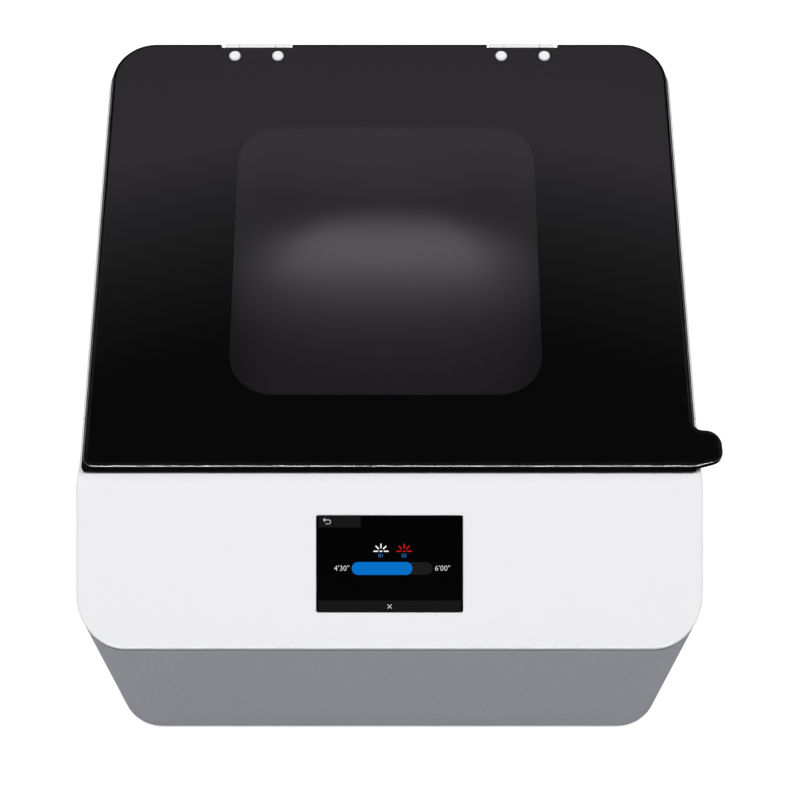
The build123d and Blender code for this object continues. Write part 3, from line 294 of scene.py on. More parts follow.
def drawn_metal(name, base_hex, roughness, line_mm, stretch, depth_mm=0.004):
    """Ground, drawn or brushed metal: fine lines that run along the tool's path."""
    material, tree, shader = new_material(name, metallic=1.0, roughness=roughness)
    vector = object_pattern(tree, stretch)
    lines = add_node(tree, "TexNoise", {
        "Vector": vector, "Scale": per_metre(line_mm), "Detail": 2.0,
        "Roughness": 0.6}).outputs["Fac"]
    relief(tree, shader, lines, depth_mm)
    vary_roughness(tree, shader, lines, roughness - 0.06, roughness + 0.1)
    mottle(tree, shader, object_pattern(tree), base_hex, 30.0, 0.03)
    return material


def vulcanised_rubber(name, base_hex):
    """Moulded rubber: matt, with a faint bloom in patches."""
    material, tree, shader = new_material(name, roughness=0.75, ior=1.52)
    vector = object_pattern(tree)
    bloom = mottle(tree, shader, vector, base_hex, 6.0, 0.25)
    relief(tree, shader, bloom, 0.03)
    return material


def powder_coat(name, base_hex):
    """Powder-coated steel: a satin skin with a fine orange peel."""
    material, tree, shader = new_material(name, roughness=0.38, ior=1.5)
    vector = object_pattern(tree)
    mottle(tree, shader, vector, base_hex, 8.0, 0.015)
    peel = add_node(tree, "TexNoise", {"Vector": vector, "Scale": per_metre(0.9), "Detail": 1.0})
    relief(tree, shader, peel.outputs["Fac"], 0.01)
    return material


def taped_coat(name, base_hex):
    """The hinge leaves' powder coat, with the black tape that bonds their tops to the plate."""
    material = powder_coat(name, base_hex)
    tree = material.node_tree
    low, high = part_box("lid_panel")
    place = add_node(tree, "SeparateXYZ", {"Vector": object_pattern(tree)})
    top = add_node(tree, "Math", {0: place.outputs["Z"], 1: low.z - SKIN},
                   operation="GREATER_THAN")
    # The tape ends where the plate's notch leaves the leaf open.
    covered = add_node(tree, "Math", {0: place.outputs["Y"], 1: high.y - sizes().notch_depth},
                       operation="LESS_THAN")
    tape = add_node(tree, "Math", {0: top.outputs[0], 1: covered.outputs[0]},
                    operation="MULTIPLY")
    paint_over(tree, tree.nodes["Principled BSDF"], tape.outputs[0], linear(BLACK_PRINT))
    return material


def window_opening():
    """Middle, half sizes and corner radius of the opening in the lid's frame, in metres."""
    side_margin, front_margin, hinge_margin = 20 * MM, 10 * MM, 5 * MM
    low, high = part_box("lid_frame")
    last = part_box("hinge_leaf_left")[0].y - hinge_margin
    rim = [v.co for v in frame["nodes"]["lid_frame"].data.vertices
           if abs(v.co.z - high.z) < SAME and low.x + side_margin < v.co.x < high.x - side_margin
           and low.y + front_margin < v.co.y < last]
    left, right = min(p.x for p in rim), max(p.x for p in rim)
    ahead, behind = min(p.y for p in rim), max(p.y for p in rim)
    radius = min(p.y for p in rim if p.x < left + SAME) - ahead
    return (Vector(((left + right) / 2, (ahead + behind) / 2, 0)),
            ((right - left) / 2, (behind - ahead) / 2), radius)


def beyond_window(tree, place):
    """One outside the rounded rectangle of the lid's window, and zero inside it."""
    centre, half, radius = window_opening()
    # A point is laid flat, taken from the window's middle, folded into one quarter and taken
    # from the centre of that quarter's corner. Past the corner's radius it is outside.
    value = place
    for operation, other in (
            ("MULTIPLY", (1, 1, 0)), ("SUBTRACT", centre), ("ABSOLUTE", (0, 0, 0)),
            ("SUBTRACT", (half[0] - radius, half[1] - radius, 0)), ("MAXIMUM", (0, 0, 0))):
        step = add_node(tree, "VectorMath", {0: value, 1: other}, operation=operation)
        value = step.outputs["Vector"]
    reach = add_node(tree, "VectorMath", {0: value}, operation="LENGTH")
    outside = add_node(tree, "Math", {0: reach.outputs["Value"], 1: radius},
                       operation="GREATER_THAN")
    return outside.outputs[0]


def tinted_acrylic():
    """Smoke-tinted cast acrylic: a polished plate whose underside and lower edge are printed
    black all round the window, so that only the lit chamber shows through it."""
    polished, satin, face_depth = 0.015, 0.3, 0.6 * MM
    material, tree, shader = new_material(
        "smoke_tinted_acrylic", roughness=polished, ior=1.49, transmission_weight=1.0)
    place = object_pattern(tree)
    # Cast sheet isn't quite even: the tint drifts over a hand's width.
    mottle(tree, shader, place, colours().plate_tint, 90.0, 0.015, detail=1.0)
    # Its face is polished and its underside satin, which blurs the lit chamber.
    low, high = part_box("lid_panel")
    height = add_node(tree, "SeparateXYZ", {"Vector": place}).outputs["Z"]
    below = add_node(tree, "MapRange", {
        "Value": height, "From Min": low.z, "From Max": high.z - face_depth,
        "To Min": 1.0, "To Max": 0.0})
    vary_roughness(tree, shader, below.outputs["Result"], polished, satin)
    # The print lies outside the window, and only low on the plate.
    underside = add_node(tree, "Math", {0: height, 1: low.z + sizes().print_height},
                         operation="LESS_THAN")
    printed = add_node(tree, "Math", {0: beyond_window(tree, place), 1: underside.outputs[0]},
                       operation="MULTIPLY")
    ink = add_node(tree, "BsdfDiffuse", {"Color": linear(BLACK_PRINT)})
    both = add_node(tree, "MixShader", {
        0: printed.outputs[0], 1: shader.outputs["BSDF"], 2: ink.outputs["BSDF"]})
    tree.links.new(both.outputs[0], tree.nodes["Material Output"].inputs["Surface"])
    return material


def screen_glass():
    """Bonded cover glass over a dark panel, with a coating that takes away most reflection."""
    material, tree, shader = new_material("bonded_cover_glass", roughness=0.12, ior=1.12)
    smudges = mottle(tree, shader, object_pattern(tree), "020203", 12.0, 0.3)
    vary_roughness(tree, shader, smudges, 0.1, 0.2)
    return material


def wave_scale(line_mm):
    """A wave texture's scale for lines that are that many millimetres apart."""
    return per_metre(line_mm) / (2 * pi)


def lit_mark(name, base_hex):
    """Lit pixels of the screen: they glow in their own colour whatever the room's light."""
    material, tree, shader = new_material(
        name, roughness=0.6, ior=1.1, base_color=(0, 0, 0, 1), emission_strength=1.0)
    # Pixel columns 0.15 mm apart, drawn at 0.3 mm so that they can be seen at all.
    columns = add_node(tree, "TexWave", {
        "Vector": object_pattern(tree), "Scale": wave_scale(0.3)})
    glow = linear(base_hex)
    pixels = add_node(tree, "Mix", {
        "Factor": columns.outputs["Fac"], 6: scaled(glow, 0.97), 7: glow}, data_type="RGBA")
    tree.links.new(pixels.outputs[2], shader.inputs["Emission Color"])
    return material


def lit_lens():
    """Silicone lens of a light source, lit: pale, with a faint violet glow."""
    material, tree, shader = new_material(
        "lit_lens", roughness=0.3, ior=1.5, emission_strength=0.2,
        emission_color=linear(colours().chamber_light))
    mottle(tree, shader, object_pattern(tree), "DADAE6", 2.0, 0.03)
    return material


def clear_pane():
    """Satin acrylic diffuser over the light slots: milky, so that it spreads the light."""
    material, tree, shader = new_material(
        "satin_acrylic", roughness=0.45, ior=1.49, transmission_weight=0.3)
    mottle(tree, shader, object_pattern(tree), "B4B6BA", 25.0, 0.02)
    return material


def bright_aluminium():
    """Rolled aluminium liner: a soft, even sheen with faint upright rolling lines."""
    return drawn_metal("bright_rolled_aluminium", "A6A7AA", roughness=0.62, line_mm=0.5,
                       stretch=(1.0, 1.0, 0.05))


def solder_mask():
    """Circuit board: green solder mask over copper tracks, which show as paler lines."""
    material, tree, shader = new_material("green_solder_mask", roughness=0.35, ior=1.5)
    vector = object_pattern(tree)
    tracks = add_node(tree, "TexBrick", {
        "Vector": vector, "Scale": 1.0, "Mortar Size": 0.35 * MM, "Brick Width": 9 * MM,
        "Row Height": 2.4 * MM, "Color1": linear("0F4A2A"), "Color2": linear("0C4025"),
        "Mortar": linear("2C7A48")})
    tree.links.new(tracks.outputs["Color"], shader.inputs["Base Color"])
    return material


def frosted_tray():
    """Frosted acrylic turntable: turned, so its faint lines run round the centre."""
    material, tree, shader = new_material("frosted_acrylic", roughness=0.6, ior=1.49)
    low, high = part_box("turntable_tray")
    centre = (low + high) / 2
    vector = object_pattern(tree, shift=(-centre.x, -centre.y, 0.0))
    rings = add_node(tree, "TexWave", {
        "Vector": vector, "Scale": wave_scale(0.8), "Distortion": 0.4, "Detail": 1.0},
        wave_type="RINGS", rings_direction="Z")
    relief(tree, shader, rings.outputs["Fac"], 0.004)
    mottle(tree, shader, vector, "CCC9CA", 20.0, 0.03)
    return material


# ---------------------------------------------------------------- object and mesh helpers
def new_object(name, data):
    """An object in the scene that holds the data."""
    made = bpy.data.objects.new(name, data)
    bpy.context.scene.collection.objects.link(made)
    return made


def area_lamp(name, width, height, energy, spot, back):
    """A rectangular lamp at a spot, which shines away from the direction back."""
    lamp = bpy.data.lights.new(name, "AREA")
    lamp.shape = "RECTANGLE"
    lamp.size, lamp.size_y = width, height
    lamp.energy = energy
    holder = new_object(name, lamp)
    holder.matrix_world = (Matrix.Translation(spot)
                           @ back.to_track_quat("Z", "Y").to_matrix().to_4x4())
    return holder


def evaluated_mesh(holder):
    """An object's mesh as its curve or its modifiers make it."""
    bpy.context.view_layer.update()
    return bpy.data.meshes.new_from_object(holder.evaluated_get(
        bpy.context.evaluated_depsgraph_get()))


def new_piece(name, bm):
    """Turn a bmesh into a piece whose object sits at the origin."""
    bmesh.ops.recalc_face_normals(bm, faces=bm.faces[:])
    mesh = bpy.data.meshes.new(name)
    bm.to_mesh(mesh)
    bm.free()
    return new_object(name, mesh)


def face_frame(node, aim=(0, 0, 1)):
    """Matrix whose origin is the middle of a node's face that looks along aim, X along +X and
    Z out of it."""
    mesh = frame["nodes"][node].data
    top = max(mesh.polygons, key=lambda face: face.normal.dot(Vector(aim)) ** 5 * face.area)
    out = top.normal.copy()
    level = top.center.dot(out)
    flat = [v.co for v in mesh.vertices if abs(v.co.dot(out) - level) < SAME]
    low = Vector([min(p[i] for p in flat) for i in range(3)])
    high = Vector([max(p[i] for p in flat) for i in range(3)])
    across = Vector((1, 0, 0))
    up = out.cross(across)
    turn = Matrix((across, up, out)).transposed().to_4x4()
    return Matrix.Translation((low + high) / 2) @ turn


def thicken(bm, faces, depth, move):
    """Give flat faces a thickness and put the body that they make in its place."""
    foot = {v for f in faces for v in f.verts}
    grown = bmesh.ops.extrude_face_region(bm, geom=faces)
    raised = {g for g in grown["geom"] if isinstance(g, bmesh.types.BMVert)}
    bmesh.ops.translate(bm, vec=(0, 0, depth), verts=list(raised))
    bmesh.ops.transform(bm, matrix=move, verts=list(foot | raised))


def add_bar(bm, place, centre, width, height, depth, radius=0.0, turn=0.0):
    """Add a flat bar with rounded ends, centred on a point of a plane."""
    corners = bmesh.ops.create_grid(bm, x_segments=1, y_segments=1, size=0.5)["verts"]
    bmesh.ops.scale(bm, vec=(width, height, 1), verts=corners)
    if radius > 0:
        rounded = bmesh.ops.bevel(
            bm, geom=corners, offset=radius, offset_type="OFFSET", segments=6, profile=0.5,
            affect="VERTICES", material=-1)
        face = [f for f in bm.faces if all(v in rounded["verts"] for v in f.verts)][-1:]
    else:
        face = list(corners[0].link_faces)
    thicken(bm, face, depth, place @ Matrix.Translation((centre[0], centre[1], 0))
            @ Matrix.Rotation(turn, 4, "Z"))


def add_ring(bm, place, centre, radius, stroke, depth, half=False):
    """Add a flat ring, or only its right half, centred on a point of a plane."""
    outer = bmesh.ops.create_circle(bm, segments=32, radius=radius + stroke / 2)["verts"]
    ring = bmesh.ops.extrude_edge_only(bm, edges=list({e for v in outer for e in v.link_edges}))
    inner = [g for g in ring["geom"] if isinstance(g, bmesh.types.BMVert)]
    share = (radius - stroke / 2) / (radius + stroke / 2)
    bmesh.ops.scale(bm, vec=(share, share, 1), verts=inner)
    faces = list({f for v in inner for f in v.link_faces})
    dropped = [f for f in faces if half and f.calc_center_median().x < 0]
    bmesh.ops.delete(bm, geom=dropped, context="FACES")
    thicken(bm, [f for f in faces if f.is_valid], depth,
            place @ Matrix.Translation((centre[0], centre[1], 0)))


def add_text(name, words, place, centre, height, depth):
    """Digits as a mesh, standing in a plane and centred on a point of it."""
    digit_share = 0.7  # height of the default typeface's digits as a share of its size
    thinning = 0.011  # taken off every side of a stroke, as a share of the size
    curve = bpy.data.curves.new(name, "FONT")
    curve.body = words
    curve.size = height / digit_share
    curve.extrude = depth / 2
    curve.offset = -thinning * curve.size
    curve.align_x = "CENTER"
    curve.align_y = "CENTER"
    curve.resolution_u = 3
    holder = new_object(name + "_curve", curve)
    mesh = evaluated_mesh(holder)
    mesh.name = name
    bpy.data.objects.remove(holder)
    mesh.transform(place @ Matrix.Translation((centre[0], centre[1], depth / 2)))
    return new_object(name, mesh)


# ---------------------------------------------------------------- operators
class CURING_OT_shells(bpy.types.Operator):
    """Finish the grey housing, the white covers and what stands under them"""

    bl_idname = "curing.shells"
    bl_label = "Housing and covers"

    def execute(self, context):
        # Moulded ABS, hardly glossy, so that the covers' eased edges stay soft.
        white = moulded_plastic("white_satin_abs", colours().cover, roughness=0.42, grain_mm=0.5,
                                depth_mm=0.006, spread=0.01, specular=0.22)
        finish(white, "front_console", "top_cover")
        finish(grained_housing(), "base_housing")
        # Zinc-plated sheet: a dull blue-grey plate with faint crystals.
        finish(sheet_metal("zinc_plated_steel", "A9ABAE", roughness=0.42, spangle_mm=6.0),
               "base_plate")
        finish(vulcanised_rubber("black_rubber", "1B1B1C"), "foot_front_left", "foot_front_right",
               "foot_rear_left", "foot_rear_right")
        return {"FINISHED"}


class CURING_OT_lid(bpy.types.Operator):
    """Finish the tinted lid, its frame, seal and screws, and the hinges"""

    bl_idname = "curing.lid"
    bl_label = "Lid and hinges"

    def execute(self, context):
        finish(tinted_acrylic(), "lid_panel")
        # Black ABS without gloss, so that the frame reads as one dark border.
        black = moulded_plastic("black_satin_abs", "101011", roughness=0.7, grain_mm=0.6,
                                depth_mm=0.006, spread=0.05, specular=0.0)
        finish(black, "lid_frame")
        # Moulded rubber, matt beside the frame's plastic.
        finish(vulcanised_rubber("sealing_rubber", "161617"), "lid_seal")
        # White powder coat: a little glossier than the moulded covers.
        finish(powder_coat("white_powder_coat", "F2F2F4"), "lid_screws", "hinge_base_left",
               "hinge_base_right")
        finish(taped_coat("taped_powder_coat", "F2F2F4"), "hinge_leaf_left", "hinge_leaf_right")
        # Ground steel: bright pins with fine lines along them.
        ground = drawn_metal("ground_steel", "B4B5B8", roughness=0.22, line_mm=0.2,
                             stretch=(0.05, 1.0, 1.0))
        finish(ground, "hinge_pins")
        # Nickel plate: smooth, bright and slightly warm.
        nickel = sheet_metal("nickel_plate", "C8C4BC", roughness=0.2, spangle_mm=3.0, spread=0.02)
        finish(nickel, "lid_magnet", "inlet_blades")
        return {"FINISHED"}


class CURING_OT_screen(bpy.types.Operator):
    """Light the screen: a timer between two plain times, two lamp symbols and two soft keys"""

    bl_idname = "curing.screen"
    bl_label = "Screen"

    def execute(self, context):
        finish(screen_glass(), "display_glass")
        low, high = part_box("display_glass")
        plane = face_frame("display_glass")
        plane = plane @ Matrix.Translation((0, 0, sizes().screen_raise))
        width = high.x - low.x
        height = 2 * abs((plane.inverted() @ Vector((0, high.y, high.z))).y)
        self.draw_keys(plane, width, height)
        self.draw_timer(plane)
        self.draw_lamps(plane)
        return {"FINISHED"}

    def show(self, piece, pixels, hue):
        """Light a piece of the screen in one colour."""
        dress(piece, lit_mark(pixels, hue), "housing")

    def draw_keys(self, plane, width, height):
        """The back key at the upper left and the stop key along the lower edge."""
        depth = sizes().mark_depth
        margin, key_h, back_w = 0.9 * MM, 6.0 * MM, 21.6 * MM
        back_at = (-width / 2 + margin + back_w / 2, height / 2 - margin - key_h / 2)
        stop_at = (0, -height / 2 + margin + key_h / 2)
        keys = bmesh.new()
        add_bar(keys, plane, back_at, back_w, key_h, depth)
        add_bar(keys, plane, stop_at, width - 2 * margin, key_h, depth, 0.4 * MM)
        self.show(new_piece("screen_keys", keys), "dark_grey_pixels", "141415")

        # The arrow: a shaft with two barbs at its left end, and a bend and a tail at its right.
        stroke, shaft, bend, barb = 0.4 * MM, 2.7 * MM, 1.0 * MM, 1.4 * MM
        x, y = back_at[0] - back_w / 2 + 3.9 * MM, back_at[1] + 0.8 * MM
        tail_at = (x + shaft / 2 - 0.9 * MM, y - 2 * bend)
        cross = 3.0 * MM
        blunt = stroke * 0.45
        raised = plane @ Matrix.Translation((0, 0, depth))
        marks = bmesh.new()
        add_bar(marks, raised, (x, y), shaft, stroke, depth, blunt)
        add_bar(marks, raised, tail_at, shaft * 0.45, stroke, depth, blunt)
        add_ring(marks, raised, (x + shaft / 2, y - bend), bend, stroke, depth, half=True)
        for side in (-1, 1):
            barb_at = (x - shaft / 2 + 0.45 * MM, y + side * 0.42 * MM)
            add_bar(marks, raised, barb_at, barb, stroke, depth, blunt, side * radians(42))
            add_bar(marks, raised, stop_at, cross, stroke * 1.1, depth, stroke * 0.5,
                    side * radians(45))
        self.show(new_piece("screen_symbols", marks), "pale_grey_pixels", "C4C4C6")

    def draw_timer(self, plane):
        """The progress bar with the time run on its left and the time set on its right."""
        depth = sizes().mark_depth
        track_w, track_h = 41.2 * MM, 6.4 * MM
        x, y = 1.3 * MM, -2.3 * MM
        track = bmesh.new()
        add_bar(track, plane, (x, y), track_w, track_h, depth, track_h * 0.49)
        self.show(new_piece("progress_track", track), "track_pixels", "1A1A1B")
        # The filled part is a little taller than the track, so that it covers its edge.
        fill_w, fill_h = track_w * 0.75, track_h * 1.02
        above = plane @ Matrix.Translation((0, 0, depth / 2))
        fill = bmesh.new()
        add_bar(fill, above, (x - (track_w - fill_w) / 2, y), fill_w, fill_h, depth,
                track_h * 0.5)
        self.show(new_piece("progress_fill", fill), "blue_pixels", colours().progress)
        reach = track_w / 2 + 5.1 * MM
        digits = lit_mark("white_pixels", "E6E6E8")
        for name, words, side in (("timer_run", "4'30\"", -1), ("timer_set", "6'00\"", 1)):
            text = add_text(name, words, plane, (x + side * reach, y), sizes().digit_height, depth)
            dress(text, digits, "housing")

    def draw_lamps(self, plane):
        """Two lamp symbols, one on and one off, with their numbers below."""
        depth = sizes().mark_depth
        stroke, foot_w, ray_end = 0.62 * MM, 1.4 * MM, 3.9 * MM
        blunt = stroke * 0.45
        symbol_y, number_y, number_height = 6.5 * MM, 4.2 * MM, 1.9 * MM
        for name, pixels, hue, x, number in (
                ("lamp_on", "bright_white_pixels", "FFFFFF", -4.4 * MM, "01"),
                ("lamp_off", "red_pixels", "C8181C", 7.4 * MM, "02")):
            rays = bmesh.new()
            add_bar(rays, plane, (x, symbol_y), foot_w, stroke, depth, blunt)
            for angle, ray_start in ((0, 1.4 * MM), (45, 1.5 * MM), (90, 1.5 * MM),
                                     (135, 1.5 * MM), (180, 1.4 * MM)):
                turn = radians(angle)
                middle = (ray_start + ray_end) / 2
                at = (x + middle * cos(turn), symbol_y + middle * sin(turn))
                add_bar(rays, plane, at, ray_end - ray_start, stroke, depth, blunt, turn)
            self.show(new_piece(name, rays), pixels, hue)
            label = add_text(name + "_number", number, plane, (x, number_y), number_height, depth)
            self.show(label, pixels + "_label", "2A86D8")


class CURING_OT_chamber(bpy.types.Operator):
    """Finish the curing chamber, its light sources and the turntable"""

    bl_idname = "curing.chamber"
    bl_label = "Curing chamber"

    def execute(self, context):
        finish(bright_aluminium(), "chamber_liner")
        finish(clear_pane(), "light_panes")
        finish(frosted_tray(), "turntable_tray")
        sides = ("front", "rear", "left", "right")
        finish(lit_lens(), *[f"led_array_{side}" for side in sides])
        finish(solder_mask(), "control_board", *[f"led_board_{side}" for side in sides])
        # Extruded aluminium: pale, with fine upright drawing lines.
        fins = drawn_metal("extruded_aluminium", "B9BBBE", roughness=0.4, line_mm=0.6,
                           stretch=(1.0, 1.0, 0.04))
        finish(fins, "turntable_hub", *[f"heat_sink_{side}" for side in sides])
        self.light_rear_slot()
        return {"FINISHED"}

    def light_rear_slot(self):
        """The rear light source at work, shining through its slot across the turntable."""
        inset = 5 * MM  # how far ahead of the pane's rear face the light starts
        from_edge = 0.14  # where it lands, in from the tray's rear edge, as a share of its depth
        low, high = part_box("light_panes")
        tray_low, tray_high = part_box("turntable_tray")
        spot = Vector(((low.x + high.x) / 2, high.y - inset, (low.z + high.z) / 2))
        aim = Vector((spot.x, tray_high.y - from_edge * (tray_high.y - tray_low.y), tray_high.z))
        holder = area_lamp("rear_slot_light", (high.x - low.x) * 0.9, high.z - low.z, 0.041,
                           spot, spot - aim)
        holder.data.spread = radians(76)
        holder.visible_camera = False
        holder.visible_transmission = False


class CURING_OT_works(bpy.types.Operator):
    """Finish the drive and the electrics inside the housing"""

    bl_idname = "curing.works"
    bl_label = "Drive and electrics"

    def execute(self, context):
        # Natural acetal: creamy gears with a waxy, even sheen.
        acetal = moulded_plastic("natural_acetal", "E4DFCC", roughness=0.4, grain_mm=0.8,
                                 depth_mm=0.004)
        finish(acetal, "turntable_gear", "motor_pinion")
        # Turned steel: bright shafts with fine lines round them.
        steel = drawn_metal("turned_steel", "B9BABD", roughness=0.25, line_mm=0.3,
                            stretch=(1.0, 1.0, 3.0))
        finish(steel, "turntable_shaft", "motor_shaft")
        # Oil-filled sintered bronze: brown-gold bushes with a dull sheen.
        bronze = drawn_metal("oiled_bronze", "A97F4C", roughness=0.38, line_mm=0.4,
                             stretch=(1.0, 1.0, 3.0))
        finish(bronze, "upper_bush", "lower_bush")
        # Galvanised sheet: grey, with its zinc crystals just visible.
        sheet = sheet_metal("galvanised_sheet", "AEB0B3", roughness=0.4, spangle_mm=5.0)
        finish(sheet, "drive_plate", "display_bracket", "gear_motor", "power_supply")
        # Drawn brass bar: yellow posts with lines along them.
        bar = drawn_metal("hexagon_bar", "C2A968", roughness=0.3, line_mm=0.4,
                          stretch=(1.0, 1.0, 0.1))
        finish(bar, "drive_posts")
        # Black moulded plastic, satin, with a little mottle.
        black = moulded_plastic("black_switch_plastic", "151516", roughness=0.4, grain_mm=0.6,
                                depth_mm=0.005, spread=0.05)
        finish(black, "display_module", "lid_sensor")
        return {"FINISHED"}


class CURING_OT_rear(bpy.types.Operator):
    """Finish the fan, the inlet and the switch, and mark the switch"""

    bl_idname = "curing.rear"
    bl_label = "Rear fittings"

    def execute(self, context):
        # Glass-filled polyamide: black, slightly uneven and dull.
        black = moulded_plastic("black_filled_polyamide", "141415", roughness=0.45, grain_mm=0.5,
                                depth_mm=0.008, spread=0.06)
        finish(black, "fan_frame", "fan_rotor", "power_inlet", "switch_body")
        # Polished black plastic: the rocker shines more than its frame.
        rocker = moulded_plastic("black_rocker_plastic", "0F0F10", roughness=0.28, grain_mm=0.6,
                                 depth_mm=0.003)
        finish(rocker, "switch_rocker")
        # Black powder coat: satin wires with a fine peel.
        finish(powder_coat("black_guard_coat", "1A1A1B"), "fan_guard")
        self.mark_rocker()
        return {"FINISHED"}

    def mark_rocker(self):
        """A bar for on and a ring for off on the rocker's two slopes."""
        depth = sizes().mark_depth
        marks = bmesh.new()
        add_bar(marks, face_frame("switch_rocker", (0, 0.9, 0.4)), (0, 0), 0.8 * MM, 4.0 * MM,
                depth, 0.2 * MM)
        add_ring(marks, face_frame("switch_rocker", (0, 0.9, -0.4)), (0, 0), 1.7 * MM, 0.7 * MM,
                 depth)
        # White pad print: matt marks on the glossy rocker.
        ink = moulded_plastic("white_pad_print", "E4E4E2", roughness=0.5, grain_mm=0.4,
                              depth_mm=0.002)
        dress(new_piece("rocker_marks", marks), ink, body_of("switch_rocker"))


class CURING_OT_screws(bpy.types.Operator):
    """Cut cross recesses in the screws' heads"""

    bl_idname = "curing.screws"
    bl_label = "Screw recesses"

    def execute(self, context):
        # Zinc-plated screws: bright heads with a fine, even grain.
        plated = drawn_metal("zinc_plated_screw", "B9BBBE", roughness=0.28, line_mm=0.4,
                             stretch=(1.0, 1.0, 1.0))
        for node, outward in (("base_screws", (0, 0, -1)), ("fan_screws", (0, 1, 0)),
                              ("inlet_screws", (0, 1, 0)), ("hinge_seat_screws", (0, 0, 1))):
            self.recess(node, Vector(outward), plated)
        return {"FINISHED"}

    def recess(self, node, outward, material):
        """Replace a group of screws with copies whose heads have a cross cut into them."""
        copy = bmesh.new()
        copy.from_mesh(frame["nodes"][node].data)
        bmesh.ops.remove_doubles(copy, verts=copy.verts, dist=SAME / 10)
        heads = self.head_centres(copy, outward)
        screws = new_piece(node + "_cut", copy)
        axis = Vector((0, 0, 1)).rotation_difference(outward).to_matrix().to_4x4()
        for index, turn in enumerate((0, pi / 2)):
            cutter = bmesh.new()
            for centre, radius in heads:
                slot = bmesh.ops.create_cube(cutter, size=1.0)["verts"]
                shape = Matrix.Diagonal((2 * radius * sizes().recess_length, sizes().recess_width,
                                         2 * sizes().recess_depth, 1))
                spin = Matrix.Rotation(turn + pi / 4, 4, "Z")
                bmesh.ops.transform(cutter, verts=slot,
                                    matrix=Matrix.Translation(centre) @ axis @ spin @ shape)
            tool = new_piece(f"{node}_tool_{index}", cutter)
            cut = screws.modifiers.new(f"slot_{index}", "BOOLEAN")
            cut.operation = "DIFFERENCE"
            cut.solver = "EXACT"
            cut.object = tool
        mesh = evaluated_mesh(screws)
        for cut in list(screws.modifiers):
            bpy.data.objects.remove(cut.object)
        screws.modifiers.clear()
        screws.data = mesh
        dress(screws, material, body_of(node))
        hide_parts(node)

    def head_centres(self, copy, outward):
        """Middle of each head's outer face, and its radius."""
        unseen = set(copy.verts)
        heads = []
        while unseen:
            island, front = set(), [unseen.pop()]
            while front:
                vert = front.pop()
                island.add(vert)
                for edge in vert.link_edges:
                    other = edge.other_vert(vert)
                    if other in unseen:
                        unseen.discard(other)
                        front.append(other)
            top = max(v.co.dot(outward) for v in island)
            rim = [v.co for v in island if v.co.dot(outward) > top - SAME]
            centre = sum(rim, Vector()) / len(rim)
            heads.append((centre, max((p - centre).length for p in rim)))
        return heads


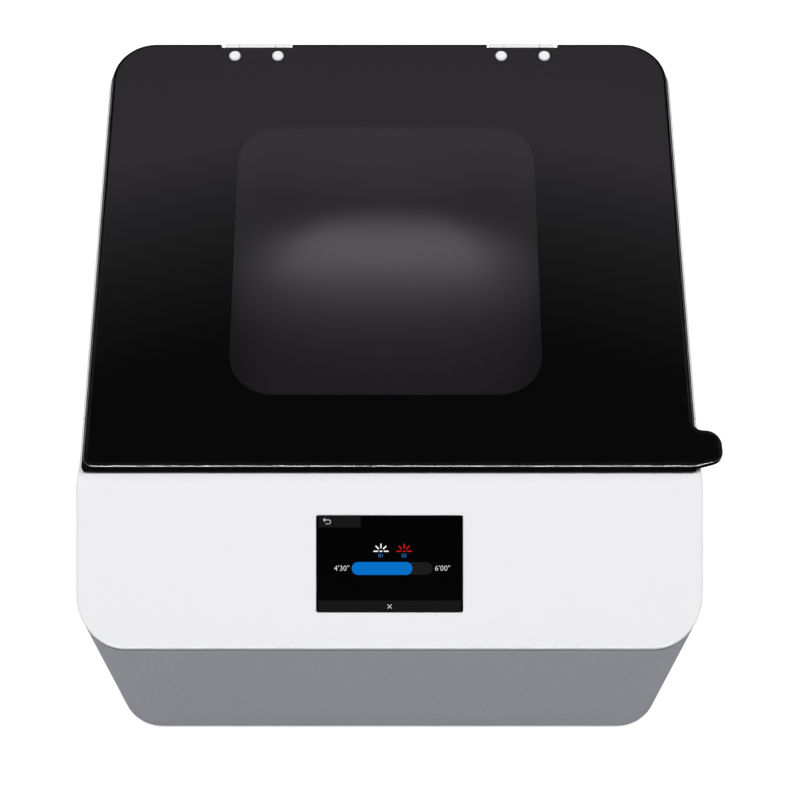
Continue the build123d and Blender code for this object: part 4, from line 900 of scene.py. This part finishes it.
class CURING_OT_stage(bpy.types.Operator):
    """Set the floor, the lamps, the room and the camera"""

    bl_idname = "curing.stage"
    bl_label = "Studio"

    def execute(self, context):
        self.lay_floor()
        self.light_room()
        self.hang_lamps()
        self.set_camera(context.scene)
        context.scene.view_settings.view_transform = "Standard"
        return {"FINISHED"}

    def lay_floor(self):
        """A pale floor that shows white to the camera and keeps the unit's contact shadow."""
        floor_size, near, far = 8.0, 0.45, 1.4
        bm = bmesh.new()
        bmesh.ops.create_grid(bm, x_segments=1, y_segments=1, size=floor_size / 2)
        floor = new_piece("studio_floor", bm)
        material = bpy.data.materials.new("white_studio_floor")
        material.use_nodes = True
        tree = material.node_tree
        tree.nodes.clear()
        paint = add_node(tree, "BsdfDiffuse", {"Color": (0.8, 0.8, 0.8, 1)})
        # Out of the lamps' reach the camera still sees white, so the floor has no far edge.
        place = add_node(tree, "TexCoord").outputs["Object"]
        away = add_node(tree, "VectorMath", {0: place}, operation="LENGTH")
        rise = add_node(tree, "MapRange", {
            "Value": away.outputs["Value"], "From Min": near, "From Max": far,
            "To Min": 0.6, "To Max": 1.0})
        lift = add_node(tree, "Emission", {"Color": (1, 1, 1, 1), "Strength": rise.outputs[0]})
        both = add_node(tree, "AddShader", {0: paint.outputs[0], 1: lift.outputs[0]})
        rays = add_node(tree, "LightPath")
        seen = add_node(tree, "MixShader", {
            0: rays.outputs["Is Camera Ray"], 1: paint.outputs[0], 2: both.outputs[0]})
        add_node(tree, "OutputMaterial", {"Surface": seen.outputs[0]})
        floor.data.materials.append(material)

    def light_room(self):
        """White for the camera, an even light for the object, and a bright horizon that
        darkens overhead for what the glossy surfaces mirror."""
        world = bpy.context.scene.world or bpy.data.worlds.new("studio_room")
        bpy.context.scene.world = world
        world.use_nodes = True
        tree = world.node_tree
        tree.nodes.clear()
        rays = add_node(tree, "LightPath")
        coordinates = add_node(tree, "TexCoord")
        height = add_node(tree, "SeparateXYZ", {"Vector": coordinates.outputs["Generated"]})
        ramp = add_node(tree, "ValToRGB", {"Fac": height.outputs["Z"]})
        # How high a direction points, from level to straight up, and what is mirrored there.
        stops = ((0.0, "2C2C2E"), (0.70, "343436"), (0.79, "C8C2C8"), (0.836, "D8D0D8"),
                 (0.851, "AFABB2"), (0.868, "868587"), (0.879, "6E6D70"), (0.89, "525254"),
                 (0.9, "4B4A4C"), (1.0, "505051"))
        while len(ramp.color_ramp.elements) < len(stops):
            ramp.color_ramp.elements.new(1.0)
        for element, (place, hue) in zip(ramp.color_ramp.elements, stops):
            element.position = place
            element.color = linear(hue)
        mirrored = add_node(tree, "Background", {"Color": ramp.outputs["Color"], "Strength": 1.0})
        even = add_node(tree, "Background", {"Color": (1, 1, 1, 1), "Strength": 0.12})
        seen = add_node(tree, "Background", {"Color": (1, 1, 1, 1), "Strength": 1.0})
        lit = add_node(tree, "MixShader", {
            0: rays.outputs["Is Glossy Ray"], 1: even.outputs[0], 2: mirrored.outputs[0]})
        both = add_node(tree, "MixShader", {
            0: rays.outputs["Is Camera Ray"], 1: lit.outputs[0], 2: seen.outputs[0]})
        add_node(tree, "OutputWorld", {"Surface": both.outputs[0]})

    def hang_lamps(self):
        """A large soft key overhead, weak fills ahead of the unit and behind it, and a low strip
        box whose reflection draws the lid's polished edge."""
        for name, height, elevation, energy in (
                ("top_key", 0.8, 86, 88.0), ("front_fill", 0.6, 12, 4.2),
                ("rear_fill", 0.6, 168, 18.0)):
            lamp = self.hang_lamp(name, width=2.4, height=height, elevation=elevation, reach=3.0,
                                  energy=energy)
            lamp.visible_glossy = False
        # It stands just below the closed lid's face, which therefore never mirrors it.
        strip = self.hang_lamp("front_strip_box", width=1.3, height=0.18, elevation=-6.2,
                               reach=0.8, energy=27.0)
        strip.visible_diffuse = False

    def hang_lamp(self, name, width, height, elevation, reach, energy):
        """Hang an area lamp that faces the unit. Its elevation is in degrees from level ahead of
        the unit, and over 90 it hangs behind."""
        target = Vector((0, -0.09, 0.2))
        away = Vector((0, -cos(radians(elevation)), sin(radians(elevation))))
        return area_lamp(name, width, height, energy, target + away * reach, away)

    def set_camera(self, scene):
        """Look down at the unit's front from above and ahead of it."""
        camera = bpy.data.cameras.new("front_view")
        camera.sensor_width = 36.0
        camera.lens = 78.66
        camera.shift_x = 0.013
        camera.clip_start = 0.05
        camera.clip_end = 20.0
        holder = new_object("front_view", camera)
        holder.location = (0.0, -0.4283, 1.0303)
        holder.rotation_euler = (radians(24.54), 0.0, 0.0)
        scene.camera = holder


class CURING_PT_panel(bpy.types.Panel):
    """Lists the unit's steps in the sidebar"""

    bl_label = "Light curing unit"
    bl_space_type = "VIEW_3D"
    bl_region_type = "UI"
    bl_category = "Curing Unit"

    def draw(self, context):
        for operator in OPERATORS:
            self.layout.operator(operator.bl_idname)


OPERATORS = (CURING_OT_shells, CURING_OT_lid, CURING_OT_screen, CURING_OT_chamber,
             CURING_OT_works, CURING_OT_rear, CURING_OT_screws, CURING_OT_stage)
CLASSES = (CuringUnitSizes, CuringUnitColours, *OPERATORS, CURING_PT_panel)


def register():
    """Register the classes and the settings."""
    for cls in CLASSES:
        bpy.utils.register_class(cls)
    bpy.types.Scene.curing_unit_sizes = bpy.props.PointerProperty(type=CuringUnitSizes)
    bpy.types.Scene.curing_unit_colours = bpy.props.PointerProperty(type=CuringUnitColours)


def unregister():
    """Take the classes and the settings out again."""
    del bpy.types.Scene.curing_unit_colours
    del bpy.types.Scene.curing_unit_sizes
    for cls in reversed(CLASSES):
        bpy.utils.unregister_class(cls)


def main():
    """Run every step in order."""
    register()
    bpy.ops.curing.shells()
    bpy.ops.curing.lid()
    bpy.ops.curing.screen()
    bpy.ops.curing.chamber()
    bpy.ops.curing.works()
    bpy.ops.curing.rear()
    bpy.ops.curing.screws()
    bpy.ops.curing.stage()


if __name__ == "__main__":
    main()
